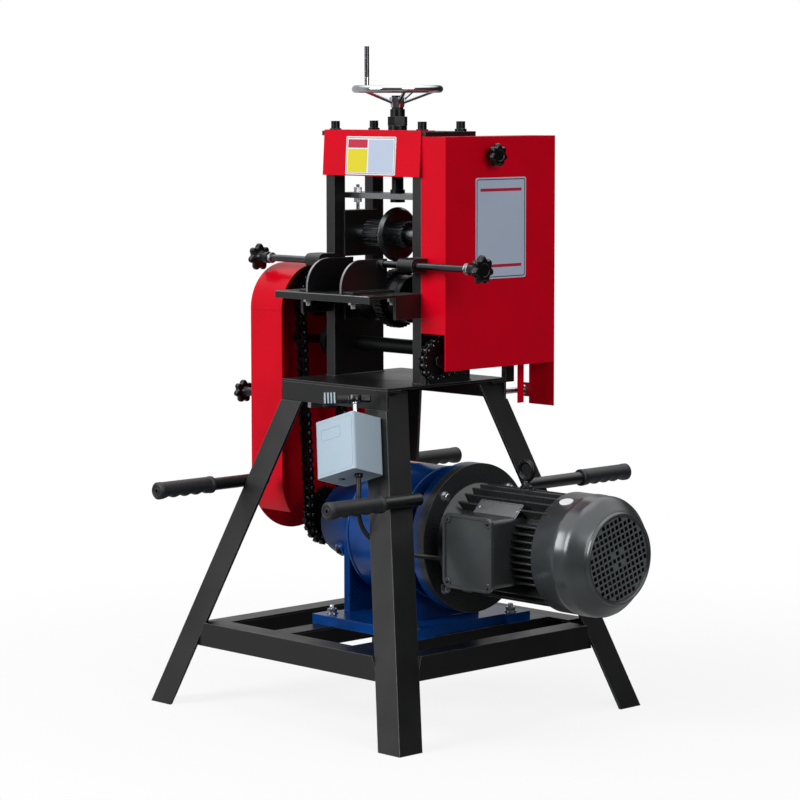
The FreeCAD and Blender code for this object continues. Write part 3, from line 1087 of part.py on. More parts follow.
def switch_axes():
    """Origin and axes of the switch: on the front right leg's outer corner, along the leg."""
    lean = vec(-v.splay_x, v.splay_y, v.leg_top_z).normalize()
    inward = vec(1, 0, 0).cross(lean * -1).normalize()
    across = inward.cross(lean)
    down = (v.leg_top_z - v.switch_z) / v.leg_top_z
    origin = vec(v.leg_top_x + v.splay_x * down, -(v.leg_top_y + v.splay_y * down), v.switch_z)
    return origin, across, inward, lean


def switch_place():
    """Placement that carries a shape from the switch's own axes to the machine's."""
    origin, across, inward, lean = switch_axes()
    matrix = FreeCAD.Matrix(across.x, inward.x, lean.x, origin.x,
                            across.y, inward.y, lean.y, origin.y,
                            across.z, inward.z, lean.z, origin.z, 0, 0, 0, 1)
    return FreeCAD.Placement(matrix)


def switch_centre():
    """Middle of the switch's top face in its own axes."""
    return vec(-v.switch_inset - v.switch_wide / 2, -v.switch_deep / 2, 0)


def make_switch():
    """Reversing switch: a moulded case against the leg and a turning lever on top."""
    centre = switch_centre()
    low = vec(-v.switch_inset - v.switch_wide, -v.switch_deep, -v.switch_tall)
    case = Part.makeBox(v.switch_wide, v.switch_deep, v.switch_tall, low)
    upright = [e for e in case.Edges if abs(e.tangentAt(0).z) > 0.9 and e.CenterOfMass.y < low.y + 1]
    case = case.makeFillet(v.switch_round, upright)
    wall = v.switch_wall
    hollow = Part.makeBox(v.switch_wide - 2 * wall, v.switch_deep - 2 * wall, v.switch_tall - 2 * wall,
                          low + vec(wall, wall, wall))
    case = case.cut(hollow)
    exits = (-v.cable_exit_x, -v.cable_exit_x - 38)
    for x, radius in zip(exits, (v.cable_radius, v.cable_radius + 2)):
        case = case.cut(Part.makeCylinder(radius, wall, vec(x, centre.y, -v.switch_tall)))
    pivot = centre + vec(v.lever_shift, 0, 0)
    case = case.cut(Part.makeCylinder(v.lever_shaft_radius + v.running_gap, wall, pivot - vec(0, 0, wall)))
    placement = switch_place()
    case.Placement = placement
    node("switch_case", raw(case))
    shaft = Part.makeCylinder(v.lever_shaft_radius, wall + v.lever_lift, pivot - vec(0, 0, wall))
    lift = pivot + vec(0, 0, v.lever_lift)
    hub = Part.makeCylinder(v.lever_hub_radius, v.lever_hub_height, lift)
    arm = Part.makeBox(v.lever_reach + v.lever_tail, 12, v.lever_hub_height, vec(-v.lever_tail, -6, 0))
    end = Part.makeBox(v.lever_end_long, v.lever_end_wide, v.lever_end_tall,
                       vec(v.lever_reach - v.lever_end_long, -v.lever_end_wide / 2,
                           (v.lever_hub_height - v.lever_end_tall) / 2))
    grip = arm.fuse(end)
    grip.rotate(vec(0, 0, 0), vec(0, 0, 1), v.lever_turn)
    grip.translate(lift)
    lever = shaft.multiFuse([hub, grip])
    lever.Placement = placement
    node("switch_lever", raw(lever))


def cable_points():
    """Route of the motor cable from the switch to the terminal box gland."""
    placement = switch_place()
    exit_low = placement.multVec(vec(-v.cable_exit_x, -v.switch_deep / 2, -v.switch_tall))
    along = placement.Rotation.multVec(vec(0, 0, -1))
    route = [
        exit_low,
        exit_low + along * v.cable_drop,
        vec(v.bend_x_1, -v.bend_y_1, v.bend_z_1),
        vec(v.bend_x_2, -v.bend_y_2, v.bend_z_2),
        vec(v.bend_x_3, -v.bend_y_3, v.bend_z_3),
        vec(v.bend_x_4, -v.bend_y_4, v.bend_z_4),
        vec(v.box_left - v.gland_length - v.cable_in, -v.gland_y, v.gland_z),
        vec(v.box_left - v.gland_length, -v.gland_y, v.gland_z),
    ]
    return route


def tube(points, radius):
    """Round tube along straight runs joined by the largest tangent arcs that fit."""
    edges, here, radii = [], points[0], []
    for before, corner, after in zip(points, points[1:], points[2:]):
        back, ahead = (before - corner), (after - corner)
        run = 0.45 * min(back.Length, ahead.Length)
        back.normalize()
        ahead.normalize()
        turn = math.pi - back.getAngle(ahead)
        reach = run / math.tan(turn / 2)
        radii.append(round(reach, 1))
        start, end = corner + back * run, corner + ahead * run
        bisector = (back + ahead).normalize()
        centre_gap = reach / math.cos(turn / 2)
        middle = corner + bisector * (centre_gap - reach)
        edges.append(Part.LineSegment(here, start).toShape())
        edges.append(Part.Arc(start, middle, end).toShape())
        here = end
    edges.append(Part.LineSegment(here, points[-1]).toShape())
    path = Part.Wire(edges)
    first = (points[1] - points[0]).normalize()
    circle = Part.Wire(Part.makeCircle(radius, points[0], first))
    shape = path.makePipeShell([circle], True, False)
    ideal = math.pi * radius * radius * path.Length
    print("cable radii", radii, "length", round(path.Length, 1), "volume share", round(shape.Volume / ideal, 4))
    return shape


def make_cable():
    """Motor cable, plain tube."""
    node("motor_cable", raw(tube(cable_points(), v.cable_radius)))


# ---------------------------------------------------------------- build

def build():
    """Make every sub-part."""
    for step in (make_table, make_legs, make_rails, make_carry_handles, make_side_frames, make_top,
                 make_tie_shaft, make_hood, make_lower_rollers, make_upper_rollers, make_blocks,
                 make_crosshead, make_press_screw, make_feed_plate, make_guides, make_chains,
                 make_right_cover, make_left_cover, make_cover_fixings, make_gearbox, make_drive_bolts,
                 make_motor, make_switch, make_cable):
        step()
    doc.recompute()
    whole = FreeCAD.BoundBox()
    for obj in NODES:
        whole.add(obj.Shape.BoundBox)
    set_origin(round(whole.Center.x, 3), round(whole.Center.y, 3))


def check_and_export():
    """Stop on any failed object or invalid shape, then write one STEP file per sub-part."""
    bad = [obj.Label for obj in doc.Objects if "Invalid" in obj.State or "Error" in obj.State]
    if bad:
        raise RuntimeError(f"failed objects: {bad}")
    for obj in NODES:
        if obj.Shape.isNull() or not obj.Shape.isValid() or not obj.Shape.Solids:
            raise RuntimeError(f"{obj.Label} has no valid solid")
    os.makedirs("parts", exist_ok=True)
    for obj in NODES:
        obj.Shape.exportStep(f"parts/{obj.Label}.step")
    print(len(NODES), "sub-parts written")


build()
check_and_export()
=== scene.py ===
"""Looks of a motor-driven cable stripping machine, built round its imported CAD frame.

Sizes are the stand's own millimetres: +Z up from the floor, X along the roller shafts and Y along
the feed, both counted from the middle of the table. A finished mesh holds its place in metres.
"""

from __future__ import annotations

import json
import logging
import math
from dataclasses import dataclass, field
from enum import Enum
from typing import Callable, Iterable, Sequence

import bmesh
import bpy
from mathutils import Matrix, Vector

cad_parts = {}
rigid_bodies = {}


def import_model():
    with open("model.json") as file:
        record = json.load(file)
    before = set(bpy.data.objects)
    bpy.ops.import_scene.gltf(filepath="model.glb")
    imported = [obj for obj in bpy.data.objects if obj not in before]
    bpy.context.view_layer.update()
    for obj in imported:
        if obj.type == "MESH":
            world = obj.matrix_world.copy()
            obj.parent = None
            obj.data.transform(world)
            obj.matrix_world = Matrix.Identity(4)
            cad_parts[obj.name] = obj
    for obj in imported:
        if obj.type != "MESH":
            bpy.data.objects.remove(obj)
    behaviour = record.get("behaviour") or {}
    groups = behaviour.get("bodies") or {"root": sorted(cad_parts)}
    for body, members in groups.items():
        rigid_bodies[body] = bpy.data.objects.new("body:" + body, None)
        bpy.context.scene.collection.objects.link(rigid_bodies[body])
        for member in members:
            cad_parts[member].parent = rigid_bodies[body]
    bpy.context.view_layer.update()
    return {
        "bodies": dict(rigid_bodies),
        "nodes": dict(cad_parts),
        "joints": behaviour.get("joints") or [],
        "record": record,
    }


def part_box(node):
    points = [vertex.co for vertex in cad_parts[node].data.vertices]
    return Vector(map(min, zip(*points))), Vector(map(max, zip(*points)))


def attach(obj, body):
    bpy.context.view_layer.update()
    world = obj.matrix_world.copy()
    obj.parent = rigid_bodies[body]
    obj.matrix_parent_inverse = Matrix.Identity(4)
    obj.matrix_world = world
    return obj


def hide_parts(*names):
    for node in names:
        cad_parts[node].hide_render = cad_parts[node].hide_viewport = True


LOG = logging.getLogger("stripper")
MM = 0.001

Mesh, Object, Node = bpy.types.Mesh, bpy.types.Object, bpy.types.Node
Socket, Tree = bpy.types.NodeSocket, bpy.types.NodeTree
Outline = Sequence[tuple[float, float]]
Point = tuple[float, float, float]

RIGHT, LEFT, UP, DOWN = (1, 0, 0), (-1, 0, 0), (0, 0, 1), (0, 0, -1)
HERE = Matrix.Identity(4)
# Axes of an upright face: its own X and Y lie in it and Z stands out of it, to the infeed or to the right.
INFEED_FACE = Matrix(((1, 0, 0, 0), (0, 0, -1, 0), (0, 1, 0, 0), (0, 0, 0, 1)))
RIGHT_FACE = Matrix(((0, 0, 1, 0), (1, 0, 0, 0), (0, 1, 0, 0), (0, 0, 0, 1)))


# ---------------------------------------------------------------- small helpers

def linear(code: str) -> tuple[float, float, float, float]:
    """Turn an sRGB hex colour into Blender's linear colour.

    Args:
        code: six hex digits.

    Returns:
        Linear red, green, blue and an alpha of 1.
    """
    parts = [int(code[i:i + 2], 16) / 255 for i in (0, 2, 4)]
    values = [c / 12.92 if c <= 0.04045 else ((c + 0.055) / 1.055) ** 2.4 for c in parts]
    return (*values, 1.0)


def add(tree: Tree, kind: str, inputs: dict | None = None, **settings: object) -> Node:
    """Add a node with its settings, values and links.

    Args:
        tree: the node tree that gets the node.
        kind: the node's class name.
        inputs: socket name or number to a value, or to the output socket that feeds it.
        **settings: the node's own properties.

    Returns:
        The new node.
    """
    node = tree.nodes.new(kind)
    for name, value in settings.items():
        setattr(node, name, value)
    for key, value in (inputs or {}).items():
        if isinstance(value, Socket):
            tree.links.new(value, node.inputs[key])
        else:
            node.inputs[key].default_value = value
    return node


def live(node: Node) -> Socket:
    """First output in use of a node that has one per data type."""
    return next(socket for socket in node.outputs if socket.enabled)


def emptied(owner: bpy.types.Material | bpy.types.World) -> Tree:
    """Give a material or a world an empty node tree.

    Args:
        owner: the material or the world.

    Returns:
        Its tree.
    """
    owner.use_nodes = True
    owner.node_tree.nodes.clear()
    return owner.node_tree


def show(name: str, data: bpy.types.ID) -> Object:
    """Make an object and link it to the scene.

    Args:
        name: the object's name.
        data: the mesh, curve, light or camera that it shows.

    Returns:
        The object.
    """
    made = bpy.data.objects.new(name, data)
    bpy.context.scene.collection.objects.link(made)
    return made


def evaluated(piece: Object) -> Mesh:
    """Work out a piece's modifiers.

    Args:
        piece: an object of the scene.

    Returns:
        A new mesh with what the modifiers make of it.
    """
    bpy.context.view_layer.update()
    graph = bpy.context.evaluated_depsgraph_get()
    return bpy.data.meshes.new_from_object(piece.evaluated_get(graph), depsgraph=graph)


class Stand:
    """Turns the stand's millimetres into the frame's metres."""

    middle = Vector((0, 0))

    @classmethod
    def read(cls) -> None:
        """Take the middle of the table from the CAD frame."""
        low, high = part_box("table_top")
        cls.middle = Vector(((low.x + high.x) / 2, (low.y + high.y) / 2))

    @classmethod
    def matrix(cls) -> Matrix:
        """Matrix from the stand's millimetres to the frame's metres."""
        return Matrix.Translation((cls.middle.x, cls.middle.y, 0)) @ Matrix.Scale(MM, 4)

    @classmethod
    def point(cls, x: float, y: float, z: float) -> Vector:
        """Point of the frame, in metres, for a point of the stand."""
        return cls.matrix() @ Vector((x, y, z))

    @classmethod
    def box(cls, node: str) -> tuple[Vector, Vector]:
        """Corners of a CAD node in the stand's millimetres."""
        back = cls.matrix().inverted()
        low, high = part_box(node)
        return back @ low, back @ high


def axes(origin: Sequence[float], along: Sequence[float], up: Sequence[float] = UP) -> Matrix:
    """Axes with Z along a direction and X as near as can be to up.

    Args:
        origin: where the axes start.
        along: the direction of their Z.
        up: the direction that their X leans to.

    Returns:
        Matrix from those axes to the stand.
    """
    z = Vector(along).normalized()
    x = Vector(up) - z * z.dot(Vector(up))
    x = x.normalized() if x.length > 1e-6 else z.orthogonal().normalized()
    turn = Matrix((x, z.cross(x), z)).transposed().to_4x4()
    return Matrix.Translation(origin) @ turn


def arc(cx: float, cy: float, radius: float, start: float, end: float, steps: int) -> list[tuple[float, float]]:
    """Points of an arc.

    Args:
        cx, cy: its centre.
        radius: its radius.
        start: its first angle, in degrees.
        end: its last angle, in degrees.
        steps: how many chords it has.

    Returns:
        Its points, both ends among them.
    """
    turns = [math.radians(start + (end - start) * i / steps) for i in range(steps + 1)]
    return [(cx + radius * math.cos(t), cy + radius * math.sin(t)) for t in turns]


def rounded(x0: float, y0: float, x1: float, y1: float, radius: float, steps: int = 5) -> list[tuple[float, float]]:
    """Outline of a rectangle with round corners.

    Args:
        x0, y0: its lower left corner.
        x1, y1: its upper right corner.
        radius: radius of its corners.
        steps: chords in each corner.

    Returns:
        Its points, anticlockwise.
    """
    centres = ((x1 - radius, y0 + radius, -90), (x1 - radius, y1 - radius, 0), (x0 + radius, y1 - radius, 90),
               (x0 + radius, y0 + radius, 180))
    return [point for x, y, start in centres for point in arc(x, y, radius, start, start + 90, steps)]


def ellipse(along: float, across: float, steps: int, off: float = 0.0) -> list[tuple[float, float]]:
    """Outline of an ellipse.

    Args:
        along: half its size along X.
        across: half its size along Y.
        steps: its corners.
        off: how far its middle lies along X.

    Returns:
        Its points, anticlockwise.
    """
    turns = [2 * math.pi * k / steps for k in range(steps)]
    return [(off + along * math.cos(t), across * math.sin(t)) for t in turns]


def eased(knots: Sequence[Vector], steps: int) -> list[Vector]:
    """Smooth line from the first knot to the last that rounds off each corner between them.

    Args:
        knots: the corners.
        steps: points in each rounded corner.

    Returns:
        The points of the line.
    """
    line = [knots[0]]
    middles = [knots[0]] + [(a + b) / 2 for a, b in zip(knots[1:-1], knots[2:-1])] + [knots[-1]]
    for start, corner, end in zip(middles, knots[1:-1], middles[1:]):
        for i in range(1, steps + 1):
            t = i / steps
            line.append(start * (1 - t) ** 2 + corner * 2 * t * (1 - t) + end * t ** 2)
    return line


# ---------------------------------------------------------------- finishes

@dataclass(frozen=True)
class Finish:
    """A surface finish: its colours, gloss, grain and how soft its edges are, in millimetres."""

    name: str
    base: str
    shade: str
    rough: tuple[float, float]
    metallic: float = 0.0
    specular: float = 0.5
    patch: float = 70.0
    mottle: float = 0.5
    grain: float = 0.8
    relief: float = 0.01
    edge: float = 0.6
    # Edge colour and how strongly it shows: rubbed bare metal, and on the knurled rollers also a painted highlight.
    wear_and_highlight_colour: str = ""
    wear_and_highlight_amount: float = 0.0
    streak: Point = (1.0, 1.0, 1.0)

    def material(self) -> bpy.types.Material:
        """Return the finish's material, made on first use."""
        return bpy.data.materials.get(self.name) or self.build()

    def build(self) -> bpy.types.Material:
        """Make the node material.

        Returns:
            A material with colour mottling, uneven gloss, fine relief and softened, worn edges.
        """
        made = bpy.data.materials.new(self.name)
        tree = emptied(made)
        place = add(tree, "ShaderNodeTexCoord").outputs["Object"]
        drawn = add(tree, "ShaderNodeMapping", {"Vector": place, "Scale": self.streak}).outputs[0]
        slow = add(tree, "ShaderNodeTexNoise", {"Vector": drawn, "Scale": 1 / (self.patch * MM), "Detail": 4.0,
                                                "Roughness": 0.55}).outputs["Fac"]
        fine = add(tree, "ShaderNodeTexNoise", {"Vector": drawn, "Scale": 1 / (self.grain * MM),
                                                "Detail": 3.0}).outputs["Fac"]
        spread = add(tree, "ShaderNodeMapRange", {"Value": slow, "From Min": 0.35, "From Max": 0.65,
                                                  "To Max": self.mottle}).outputs[0]
        colour = add(tree, "ShaderNodeMix", {"Factor": spread, 6: linear(self.base), 7: linear(self.shade)},
                     data_type="RGBA").outputs[2]
        both = add(tree, "ShaderNodeMath", {0: slow, 1: fine}, operation="ADD").outputs[0]
        rough = add(tree, "ShaderNodeMapRange", {"Value": both, "From Min": 0.7, "From Max": 1.3,
                                                 "To Min": self.rough[0], "To Max": self.rough[1]}).outputs[0]
        soft = add(tree, "ShaderNodeBevel", {"Radius": self.edge * MM}, samples=4).outputs[0]
        # Paler edges: worn bare metal, on the knurled rollers partly a painted highlight.
        if self.wear_and_highlight_amount:
            colour = self.worn_and_highlit_edges(tree, colour, soft, fine)
        bump = add(tree, "ShaderNodeBump", {"Height": fine, "Normal": soft, "Strength": 1.0,
                                            "Distance": self.relief * MM}).outputs[0]
        shader = add(tree, "ShaderNodeBsdfPrincipled", {
            "Base Color": colour, "Roughness": rough, "Metallic": self.metallic, "Normal": bump,
            "Specular IOR Level": self.specular})
        add(tree, "ShaderNodeOutputMaterial", {"Surface": shader.outputs[0]})
        return made

    def worn_and_highlit_edges(self, tree: Tree, colour: Socket, soft: Socket, fine: Socket) -> Socket:
        """Show a paler colour along edges: worn bare metal, and on the knurled rollers also a painted highlight.

        Args:
            tree: the material's tree.
            colour: the colour away from the edges.
            soft: the softened normal.
            fine: the fine noise that breaks the edge colour up.

        Returns:
            The colour with its paler edges.
        """
        flat = add(tree, "ShaderNodeNewGeometry").outputs["Normal"]
        facing = add(tree, "ShaderNodeVectorMath", {0: soft, 1: flat}, operation="DOT_PRODUCT").outputs["Value"]
        bent = add(tree, "ShaderNodeMath", {0: 1.0, 1: facing}, operation="SUBTRACT").outputs[0]
        broken = add(tree, "ShaderNodeMath", {0: bent, 1: fine}, operation="MULTIPLY").outputs[0]
        mask = add(tree, "ShaderNodeMapRange", {"Value": broken, "From Min": 0.02, "From Max": 0.12,
                                                "To Max": self.wear_and_highlight_amount}).outputs[0]
        return add(tree, "ShaderNodeMix", {"Factor": mask, 6: colour, 7: linear(self.wear_and_highlight_colour)},
                   data_type="RGBA").outputs[2]


# Sprayed gloss enamel on folded steel sheet: a deep even red, a little orange peel, sharp reflections.
RED_ENAMEL = Finish("red_sprayed_enamel", "D4001F", "C20019", (0.26, 0.36), specular=0.14, grain=2.2,
                    relief=0.008, edge=0.9, mottle=0.6)
# Satin black sprayed paint on hot-rolled angle iron: nearly black, scale under the paint, rubbed edges.
BLACK_PAINT = Finish("black_sprayed_paint", "08090A", "040405", (0.3, 0.44), grain=1.4, relief=0.03, edge=1.5,
                     wear_and_highlight_colour="8A8C90", wear_and_highlight_amount=0.6)
# Blackened machined steel: dark, oily, with a soft metal sheen.
BLACK_STEEL = Finish("blackened_steel", "1C1D1F", "0E0F10", (0.24, 0.4), metallic=0.6, specular=0.35, grain=0.5,
                     edge=0.4, wear_and_highlight_colour="9A9CA0", wear_and_highlight_amount=0.6)
# Turned and ground steel bar: mid grey, faint rings across its length.
GROUND_STEEL = Finish("ground_steel_bar", "9C9EA1", "6F7174", (0.2, 0.34), metallic=1.0, patch=30, grain=0.5,
                      relief=0.004, edge=0.3, streak=(0.15, 1.0, 1.0))
# Oiled steel rod: darker than the ground bar and closer in its shine.
OILED_STEEL = Finish("oiled_steel_rod", "54565A", "36383B", (0.14, 0.24), metallic=1.0, patch=30, grain=0.5,
                     relief=0.004)
# Bright zinc plating on screws and studs: pale blue-grey, slightly cloudy.
ZINC = Finish("zinc_plating", "C2C5C9", "95989C", (0.22, 0.38), metallic=1.0, patch=12, grain=0.6, relief=0.005,
              edge=0.3)
# Polished chrome plating: nearly clean mirror with a touch of haze.
CHROME = Finish("chrome_plating", "B9BBBE", "A4A6AA", (0.06, 0.14), metallic=1.0, patch=40, relief=0.001, edge=0.3)
# Gloss enamel over sand-cast iron: strong blue with a pebbled skin.
BLUE_ENAMEL = Finish("blue_cast_enamel", "063F86", "032A5C", (0.16, 0.28), specular=0.4, grain=2.6, relief=0.09,
                     edge=2.0, mottle=0.8)
# Satin enamel over pressure-cast aluminium: dark neutral grey, fine skin.
GREY_ENAMEL = Finish("grey_cast_enamel", "343637", "232526", (0.22, 0.36), metallic=0.25, grain=1.6, relief=0.03,
                     edge=1.0, mottle=0.7, wear_and_highlight_colour="8C8F90", wear_and_highlight_amount=0.35)
# The same grey on a smooth pressed cover, glossier and without the cast skin.
GREY_PRESSED = Finish("grey_pressed_enamel", "4A4E50", "3A3D3F", (0.17, 0.26), metallic=0.35, grain=2.0,
                      relief=0.006, edge=0.8, mottle=0.6)
# The pressed grille in the cover's mouth, thinner in its coat and a little paler.
GRILLE_ENAMEL = Finish("grey_grille_enamel", "6A6F70", "5A5E60", (0.26, 0.4), metallic=0.3, grain=1.2,
                       relief=0.006, edge=0.4, mottle=0.6)
# Moulded nylon of the fan: dull dark grey.
GREY_NYLON = Finish("grey_nylon", "141517", "0E0F10", (0.5, 0.62), specular=0.25, grain=0.9, edge=0.5)
# Moulded ABS of the switch: pale blue-grey, very fine spark-eroded skin.
PALE_ABS = Finish("pale_abs", "A9BBC9", "9FB2C1", (0.36, 0.46), specular=0.3, grain=0.7, relief=0.012, edge=0.8,
                  mottle=0.4)
# Moulded phenolic resin of the star knobs: black, glossy, with faint flow marks.
PHENOLIC = Finish("black_phenolic", "0C0C0D", "070708", (0.18, 0.3), specular=0.35, grain=1.2, edge=0.8)
# Moulded rubber of the carrying grips: soft black with a matt bloom.
RUBBER = Finish("black_grip_rubber", "1A1C20", "111214", (0.42, 0.6), specular=0.4, grain=0.7, relief=0.03,
                edge=0.8, mottle=0.8)
# Vinyl sheath of the motor cable: smooth dull black.
VINYL = Finish("black_vinyl_sheath", "131416", "0D0E10", (0.4, 0.5), specular=0.35, edge=0.3)
# Knurled and hardened drive rollers: dark oiled flanks, tooth crests rubbed bright and also given a painted highlight
# in a near-white edge colour.
KNURLED_STEEL = Finish("knurled_roller_steel", "5A5D61", "2C2E31", (0.14, 0.26), metallic=1.0, patch=12, grain=0.4,
                       edge=0.5, wear_and_highlight_colour="E0E3E6", wear_and_highlight_amount=0.8)
# Hardened and ground tool steel of the slitting disc: grey with a fine even sheen.
TOOL_STEEL = Finish("ground_tool_steel", "74767A", "4E5054", (0.22, 0.36), metallic=1.0, patch=20, grain=0.5,
                    relief=0.004, edge=0.3)
# Printed aluminium plates and their inks, left bare: flat, even and a little glossy.
PRINTED = {"grain": 0.9, "relief": 0.003, "edge": 0.2, "mottle": 0.3}
WHITE_PLATE = Finish("white_printed_plate", "E9ECEF", "DDE1E6", (0.3, 0.4), **PRINTED)
BLUE_GREY_PLATE = Finish("pale_printed_plate", "B9C5DA", "AEBBD0", (0.3, 0.42), **PRINTED)
YELLOW_PLATE = Finish("yellow_print", "DED01E", "D6C81A", (0.3, 0.42), **PRINTED)
RED_PLATE = Finish("red_print", "C02040", "B01C38", (0.3, 0.42), **PRINTED)
DARK_PRINT = Finish("dark_print", "3A3F4A", "2F343E", (0.3, 0.42), **PRINTED)
ORANGE_PRINT = Finish("orange_print", "E06A12", "C85A0C", (0.3, 0.42), **PRINTED)
# Etched tin plate on the motor: dull grey metal.
TIN_PLATE = Finish("etched_tin_plate", "8F9194", "77797C", (0.3, 0.44), metallic=1.0, patch=10, grain=0.6, edge=0.2)

CAD_FINISHES: dict[Finish, str] = {
    BLACK_PAINT: "table_top table_aprons legs base_rails carry_bars side_frame_left side_frame_right top_plate "
                 "lower_bearing_blocks upper_bearing_blocks feed_plate guide_left guide_right idler_brackets",
    BLACK_STEEL: "top_screws press_nut tie_shaft lower_rollers press_screw roller_chain main_chain "
                 "lower_chain_sprocket upper_chain_sprocket lower_drive_sprocket front_idler rear_idler "
                 "driving_sprocket",
    GROUND_STEEL: "lower_shaft upper_shaft crosshead output_shaft",
    OILED_STEEL: "crank_sleeve guide_rod_left guide_rod_right",
    KNURLED_STEEL: "knurled_rollers",
    TOOL_STEEL: "slitting_disc",
    ZINC: "crosshead_studs cover_studs drive_bolts",
    CHROME: "handwheel",
    RED_ENAMEL: "front_hood right_cover left_cover",
    BLUE_ENAMEL: "gearbox_housing",
    GREY_ENAMEL: "motor_flange motor_body terminal_box terminal_lid",
    GREY_PRESSED: "fan_cover",
    GREY_NYLON: "motor_fan",
    PALE_ABS: "switch_case switch_lever",
    PHENOLIC: "guide_knob_left guide_knob_right cover_knob_right cover_knob_left cable_glands",
    RUBBER: "carry_grips",
    VINYL: "motor_cable",
    WHITE_PLATE: "blank_plates",
}


def dress_cad(nodes: dict[str, Object]) -> None:
    """Give every CAD node its finish.

    Args:
        nodes: the frame's objects by node name.
    """
    for finish, names in CAD_FINISHES.items():
        for name in names.split():
            materials = nodes[name].data.materials
            materials.clear()
            materials.append(finish.material())
    LOG.info("dressed %d CAD nodes", sum(len(names.split()) for names in CAD_FINISHES.values()))


# ---------------------------------------------------------------- mesh kit

class Shape:
    """A mesh in the stand's millimetres that grows by strokes, each in the finish and the frame in hand."""

    def __init__(self, finish: Finish, frame: Matrix = HERE) -> None:
        """Start without faces, with a finish and a frame in hand."""
        self.form, self.finish, self.frame = bmesh.new(), finish, frame
        self.slots: list[Finish] = []

    def faces(self, points: Iterable[Sequence[float]], loops: Iterable[Sequence[int]]) -> None:
        """Add faces over new points.

        Args:
            points: the corners, in the frame in hand.
            loops: each face's corners by number.
        """
        corners = [self.form.verts.new(self.frame @ Vector(p)) for p in points]
        if self.finish not in self.slots:
            self.slots.append(self.finish)
        for loop in loops:
            self.form.faces.new([corners[i] for i in loop]).material_index = self.slots.index(self.finish)

    def lathe(self, profile: Outline, steps: int = 48, closed: bool = False,
              radial: Callable[[float, float, float], float] | None = None) -> None:
        """Turn a profile about the frame's Z.

        Args:
            profile: radius and height pairs; a radius of 0 closes the end.
            steps: corners round the axis.
            closed: join the profile's end to its start, as on a ring.
            radial: factor on the radius for an angle, a radius and a height, for lobes and flutes.
        """
        points: list[Point] = []
        rings: list[list[int]] = []
        for radius, height in profile:
            if radius == 0:
                rings.append([len(points)] * steps)
                points.append((0, 0, height))
                continue
            rings.append(list(range(len(points), len(points) + steps)))
            for i in range(steps):
                angle = 2 * math.pi * i / steps
                r = radius * (radial(angle, radius, height) if radial else 1)
                points.append((r * math.cos(angle), r * math.sin(angle), height))
        loops = []
        for low, high in zip(rings, rings[1:] + rings[:1] if closed else rings[1:]):
            for i in range(steps):
                j = (i + 1) % steps
                loop = [low[i], low[j], high[j], high[i]]
                loops.append([c for k, c in enumerate(loop) if c != loop[k - 1]])
        self.faces(points, loops)

    def disc(self, radius: float, low: float, high: float, steps: int = 28) -> None:
        """Add a round disc between two heights."""
        self.lathe([(0, low), (radius, low), (radius, high), (0, high)], steps)

    def block(self, low: Sequence[float], high: Sequence[float]) -> None:
        """Add a box between two corners."""
        corners = [(x, y, z) for z in (low[2], high[2])
                   for x, y in ((low[0], low[1]), (high[0], low[1]), (high[0], high[1]), (low[0], high[1]))]
        self.faces(corners, [(3, 2, 1, 0), (4, 5, 6, 7), (0, 1, 5, 4), (1, 2, 6, 5), (2, 3, 7, 6), (3, 0, 4, 7)])

    def prism(self, outline: Outline, low: float, high: float) -> None:
        """Draw an outline out along Z.

        Args:
            outline: its corners in X and Y.
            low: where it starts.
            high: where it ends.
        """
        count = len(outline)
        loops: list[Sequence[int]] = [list(range(count))[::-1], list(range(count, 2 * count))]
        loops += [(i, (i + 1) % count, (i + 1) % count + count, i + count) for i in range(count)]
        self.faces([(x, y, z) for z in (low, high) for x, y in outline], loops)

    def hoop(self, outer: Outline, inner: Outline, low: float, high: float) -> None:
        """Draw the band between two outlines out along Z.

        Args:
            outer: its outside corners in X and Y.
            inner: its inside corners, as many.
            low: where it starts.
            high: where it ends.
        """
        count = len(outer)
        loops = []
        for i in range(count):
            j = (i + 1) % count
            for a, b in ((0, count), (2 * count, 3 * count), (0, 2 * count), (count, 3 * count)):
                loops.append((a + i, a + j, b + j, b + i))
        self.faces([(x, y, z) for z in (low, high) for outline in (outer, inner) for x, y in outline], loops)

    def hexagon(self, radius: float, low: float, high: float) -> None:
        """Add a hexagonal nut body whose corners are at the radius."""
        self.prism(ellipse(radius, radius, 6), low, high)

    def mesh(self, name: str) -> Mesh:
        """Close the strokes into one mesh, in the same millimetres.

        Args:
            name: the mesh's name.

        Returns:
            The mesh, with its normals outwards and a material for each finish.
        """
        bmesh.ops.remove_doubles(self.form, verts=self.form.verts, dist=1e-4)
        bmesh.ops.recalc_face_normals(self.form, faces=self.form.faces)
        mesh = bpy.data.meshes.new(name)
        self.form.to_mesh(mesh)
        self.form.free()
        for finish in self.slots:
            mesh.materials.append(finish.material())
        return mesh

    def template(self, name: str) -> Object:
        """Hold the shape in an object that is never shown, for a pattern to repeat."""
        return bpy.data.objects.new(name, self.mesh(name))

    def piece(self, name: str, body: str, bevel: float = 0.6, **settings: object) -> Object:
        """Finish the shape as a piece that rides on a body, with settle's settings."""
        return settle(self.mesh(name), name, body, bevel, **settings)


